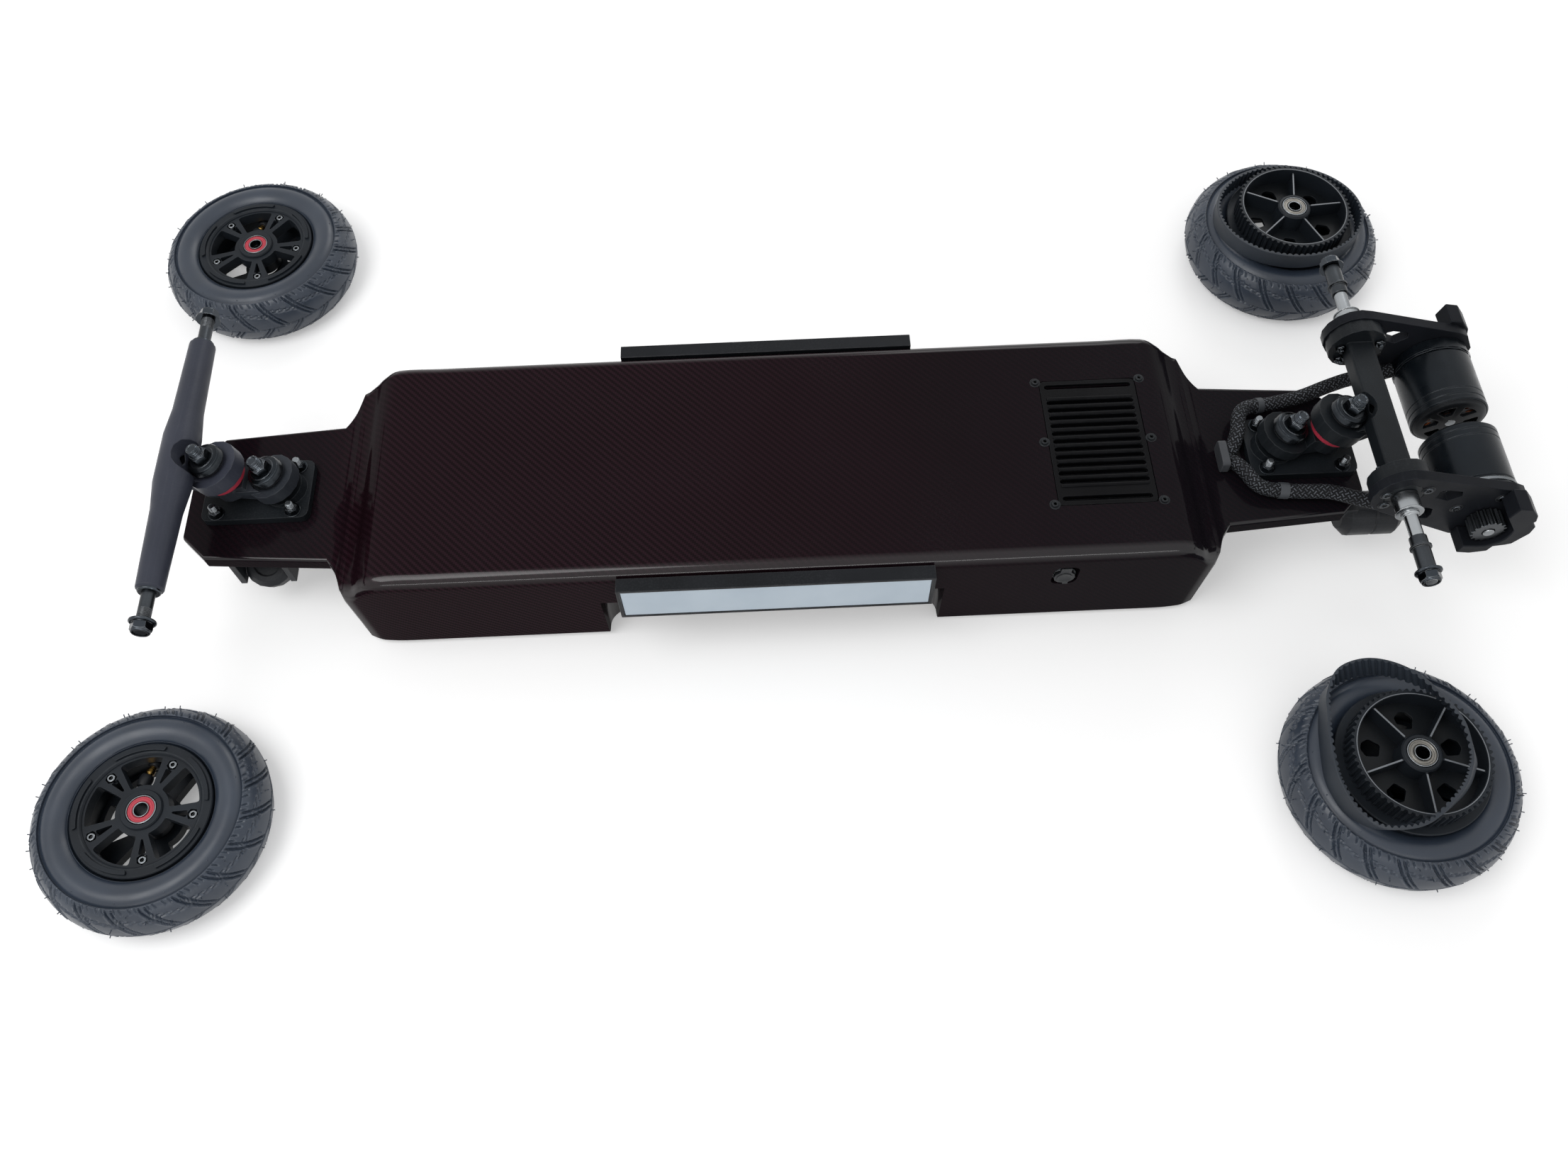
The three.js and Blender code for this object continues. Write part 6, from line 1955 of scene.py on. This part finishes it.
@dataclass
class Belt:
    """Loose toothed belt that lies on a rear wheel, drawn about the wheel's centre.

    Each place of its loop holds X, Y and Z of the upper edge and then of the lower edge, and its tooth
    holds the heights along one tooth and the gap after it, as shares.
    """

    wheel: RearWheel
    loop: Outline
    thickness: float = 1.6
    tooth_height: float = 1.6
    tooth: Point = (0.0, 0.75, 1.0, 1.0, 0.75, 0.0)
    bevel: float = 0.4
    teeth: int = 77

    def section(self, share: float, tops: list[Vector], feet: list[Vector]) -> tuple[Vector, Vector, Vector]:
        """Find one place of the belt.

        Args:
            share: Share of the way round the loop.
            tops: The upper edge.
            feet: The lower edge.

        Returns:
            The upper place, the lower place and the way inwards.
        """
        count = len(tops)
        first, rest = divmod(share * count, 1.0)
        first = int(first) % count
        after = (first + 1) % count
        top, foot = (edge[first].lerp(edge[after], rest) for edge in (tops, feet))
        ahead = feet[after] - feet[first - 1]
        return top, foot, ahead.cross(top - foot).normalized() * -1.0

    def build(self) -> None:
        """Build the belt with its rounded teeth."""
        tops, feet = (smooth_path([row[start:start + 3] for row in self.loop], 12, True) for start in (0, 3))
        rings = []
        total = self.teeth * len(self.tooth)
        for i in range(total):
            top, foot, inward = self.section(i / total, tops, feet)
            lift = self.thickness + self.tooth_height * self.tooth[i % len(self.tooth)]
            rim = (top - foot).normalized() * self.bevel
            rings.append([top - rim, top + inward * self.bevel, top + inward * lift, foot + inward * lift,
                          foot + inward * self.bevel, foot + rim])
        name = self.wheel.name
        place = Matrix.Translation((*self.wheel.centre, 0))
        Form().rings(rings, True).make(name + "_toothed_belt", BELT_RUBBER, name + "_wheel",
                                       [name + "_belt"], place, smooth=40.0)


def bent_loop(tyre_radius: float = 87.5, pulley_top: float = 70.4) -> Outline:
    """Draw the near belt's route, which hangs over the pulley with one side down on the tyre.

    Args:
        tyre_radius: Outside radius of the tyre, by which the X and Y are given.
        pulley_top: Height of the pulley, by which the heights are given.

    Returns:
        The route.
    """
    shares = (
        (-0.702, 0.192, 0.923, -0.722, 0.23, 0.708), (-0.715, -0.069, 0.923, -0.757, -0.069, 0.708),
        (-0.697, -0.229, 0.923, -0.737, -0.234, 0.708), (-0.638, -0.443, 0.945, -0.663, -0.423, 0.727),
        (-0.514, -0.619, 1.009, -0.509, -0.571, 0.803), (-0.328, -0.663, 1.094, -0.309, -0.606, 0.895),
        (-0.151, -0.629, 1.17, -0.071, -0.573, 1.011), (0.051, -0.478, 1.207, 0.149, -0.44, 1.03),
        (0.177, -0.354, 1.222, 0.274, -0.326, 1.044), (0.259, -0.226, 1.229, 0.352, -0.208, 1.051),
        (0.314, -0.078, 1.229, 0.399, -0.088, 1.051), (0.325, 0.183, 1.222, 0.389, 0.206, 1.044),
        (0.249, 0.401, 1.2, 0.29, 0.44, 1.03), (0.091, 0.643, 1.172, 0.149, 0.594, 1.009),
        (-0.08, 0.8, 1.094, -0.039, 0.735, 0.909), (-0.288, 0.858, 1.037, -0.229, 0.783, 0.838),
        (-0.494, 0.802, 0.966, -0.434, 0.754, 0.76), (-0.625, 0.601, 0.937, -0.606, 0.651, 0.724),
        (-0.669, 0.389, 0.923, -0.68, 0.434, 0.709),
    )
    scale = (tyre_radius, tyre_radius, pulley_top) * 2
    return tuple(tuple(share * size for share, size in zip(row, scale)) for row in shares)


def oval_loop(long: float = 66.0, short: float = 56.4, centre: Point = (-4.0, -2.4), low: float = 53.2,
              high: float = 68.2) -> Outline:
    """Return the far belt's route, an oval that stands round the pulley."""
    outline = [(centre[0] + long * math.cos(a), centre[1] + short * math.sin(a)) for a in angles(24)]
    return tuple((x, y, high, x, y, low) for x, y in outline)


@dataclass(frozen=True)
class Softbox:
    """A soft lamp that looks at the board's middle, with its size in metres and its power in watts."""

    name: str
    place: Point
    size: Point
    power: float

    def hang(self) -> None:
        """Hang the lamp in its place."""
        data = bpy.data.lights.new(self.name, "AREA")
        data.shape = "RECTANGLE"
        data.size, data.size_y = self.size
        data.energy = self.power
        lamp = bpy.data.objects.new(self.name, data)
        lamp.location = self.place
        lamp.rotation_euler = (-Vector(self.place)).to_track_quat("-Z", "Y").to_euler()
        bpy.context.scene.collection.objects.link(lamp)


@dataclass
class Studio:
    """Pale floor, soft lights and the camera at the photograph's angle."""

    image_width: float = 2212.0
    focal: float = 1828.2
    sensor: float = 36.0
    yaw: float = -0.0134
    pitch: float = 1.0737
    roll: float = -0.0320
    eye: Point = (-0.0013, -0.5781, 0.9514)
    floor_size: float = 30.0
    floor_glow: float = 0.3
    world_light: float = 0.54
    world_glow: float = 0.46
    lamps: tuple[Softbox, ...] = (
        Softbox("key_softbox", (-0.9, -0.5, 1.9), (1.2, 1.2), 17.0),
        Softbox("fill_softbox", (1.0, 2.6, 1.8), (1.4, 1.2), 16.0),
        Softbox("edge_strip", (0.0, -2.6, 1.2), (2.8, 0.1), 8.0),
    )

    def camera(self) -> None:
        """Place the camera by its measured turn and place."""
        data = bpy.data.cameras.new("photo_camera")
        data.sensor_width = self.sensor
        data.sensor_fit = "HORIZONTAL"
        data.lens = self.focal * self.sensor / self.image_width
        data.clip_start = 0.01
        level = Vector((math.cos(self.yaw), math.sin(self.yaw), 0))
        ahead = Vector((-level.y, level.x, 0))
        look = math.cos(self.pitch) * ahead - math.sin(self.pitch) * Vector((0, 0, 1))
        up = level.cross(look)
        right = math.cos(self.roll) * level + math.sin(self.roll) * up
        above = math.cos(self.roll) * up - math.sin(self.roll) * level
        camera = bpy.data.objects.new("photo_camera", data)
        turn = Matrix((right, above, -look)).transposed().to_4x4()
        camera.matrix_world = Matrix.Translation(self.eye) @ turn
        bpy.context.scene.collection.objects.link(camera)
        bpy.context.scene.camera = camera

    def seen(self, graph: Graph, strength: float) -> Socket:
        """Limit a strength to what the camera, gloss and glass see.

        Args:
            graph: The graph of the floor or the world.
            strength: The strength.

        Returns:
            The strength for them and 0 for all else.
        """
        path = graph.add("LightPath").outputs
        seen = graph.math("MAXIMUM", path["Is Camera Ray"], path["Is Glossy Ray"])
        return graph.math("MULTIPLY", graph.math("MAXIMUM", seen, path["Is Transmission Ray"]), strength)

    def floor(self) -> None:
        """Lay the floor."""
        bpy.ops.mesh.primitive_plane_add(size=self.floor_size, location=(0, 0, -0.0002))
        floor = bpy.context.object
        floor.name = "studio_floor"
        material = bpy.data.materials.new("pale_floor")
        material.use_nodes = True
        graph = Graph(material.node_tree)
        patches = graph.noise(graph.add("TexCoord").outputs["Object"], 3.0)
        shader = graph.add("BsdfPrincipled", {
            "Base Color": graph.mix(patches, rgb("f1f1f1"), rgb("f6f6f6")), "Roughness": 0.8,
            "Specular IOR Level": 0.2, "Emission Color": (1.0, 1.0, 1.0),
            "Emission Strength": self.seen(graph, self.floor_glow),
        })
        graph.add("OutputMaterial", {"Surface": shader.outputs[0]})
        floor.data.materials.append(material)

    def world(self) -> None:
        """Light the world."""
        world = bpy.data.worlds.new("soft_studio")
        world.use_nodes = True
        bpy.context.scene.world = world
        graph = Graph(world.node_tree)
        strength = graph.math("ADD", self.seen(graph, self.world_glow), self.world_light)
        back = graph.add("Background", {"Color": (1.0, 1.0, 1.0), "Strength": strength})
        graph.add("OutputWorld", {"Surface": back.outputs[0]})

    def build(self) -> None:
        """Build camera, floor, world and lamps."""
        self.camera()
        self.floor()
        self.world()
        for lamp in self.lamps:
            lamp.hang()
        bpy.context.scene.view_settings.view_transform = "Standard"
        LOG.info("studio built")


CABLES = (
    MotorCable("cable_near", ((363.2, -13, 6.6), (367.5, -13, 6.6), (372.5, -22, 9.5), (383.5, -39, 9),
                              (410, -43.5, 8), (434, -47, 11), (456, -56, 12.5), (476, -61, 11.5),
                              (496, -63, 11.5), (511, -65, 14.5)), 5, (394, 407)),
    MotorCable("cable_far", ((363.2, -1, 6.6), (367.5, -1, 6.6), (374.5, 13, 11), (378, 27, 12),
                             (386, 36, 11), (405, 40, 9), (430, 44, 11), (456, 53, 12.5), (476, 60, 11.5),
                             (496, 63, 11.5), (511, 65, 14.5)), 6, (390, 403)),
)
TRUCKS = (
    Truck(End.FRONT, -409.5, FRONT_PAINT, BEAM_PAINT, 142.0),
    Truck(End.REAR, 422.0, TRUCK_PAINT, TRUCK_PAINT, 147.0),
)
FRONT_WHEELS = (
    FrontWheel("front_near", (-473.3, -248.1), -7),
    FrontWheel("front_far", (-473.6, 303.1), -8),
)
REAR_WHEELS = (
    RearWheel("rear_near", (457.8, -257.1), -20),
    RearWheel("rear_far", (487.6, 273.2), 6),
)


def main() -> None:
    """Build the studio, the cables and then everything else."""
    Studio().build()
    for cable in CABLES:
        cable.build()
    dress_nodes(frame["nodes"])
    DeckTrim().build()
    for truck in TRUCKS:
        truck.build()
    Axles().build()
    for side in Side:
        Drive(side).build()
    tyre = Tyre().form()
    for wheel in (*FRONT_WHEELS, *REAR_WHEELS):
        wheel.build(tyre)
    for wheel, loop in zip(REAR_WHEELS, (bent_loop(), oval_loop())):
        Belt(wheel, loop).build()


if __name__ == "__main__":
    main()
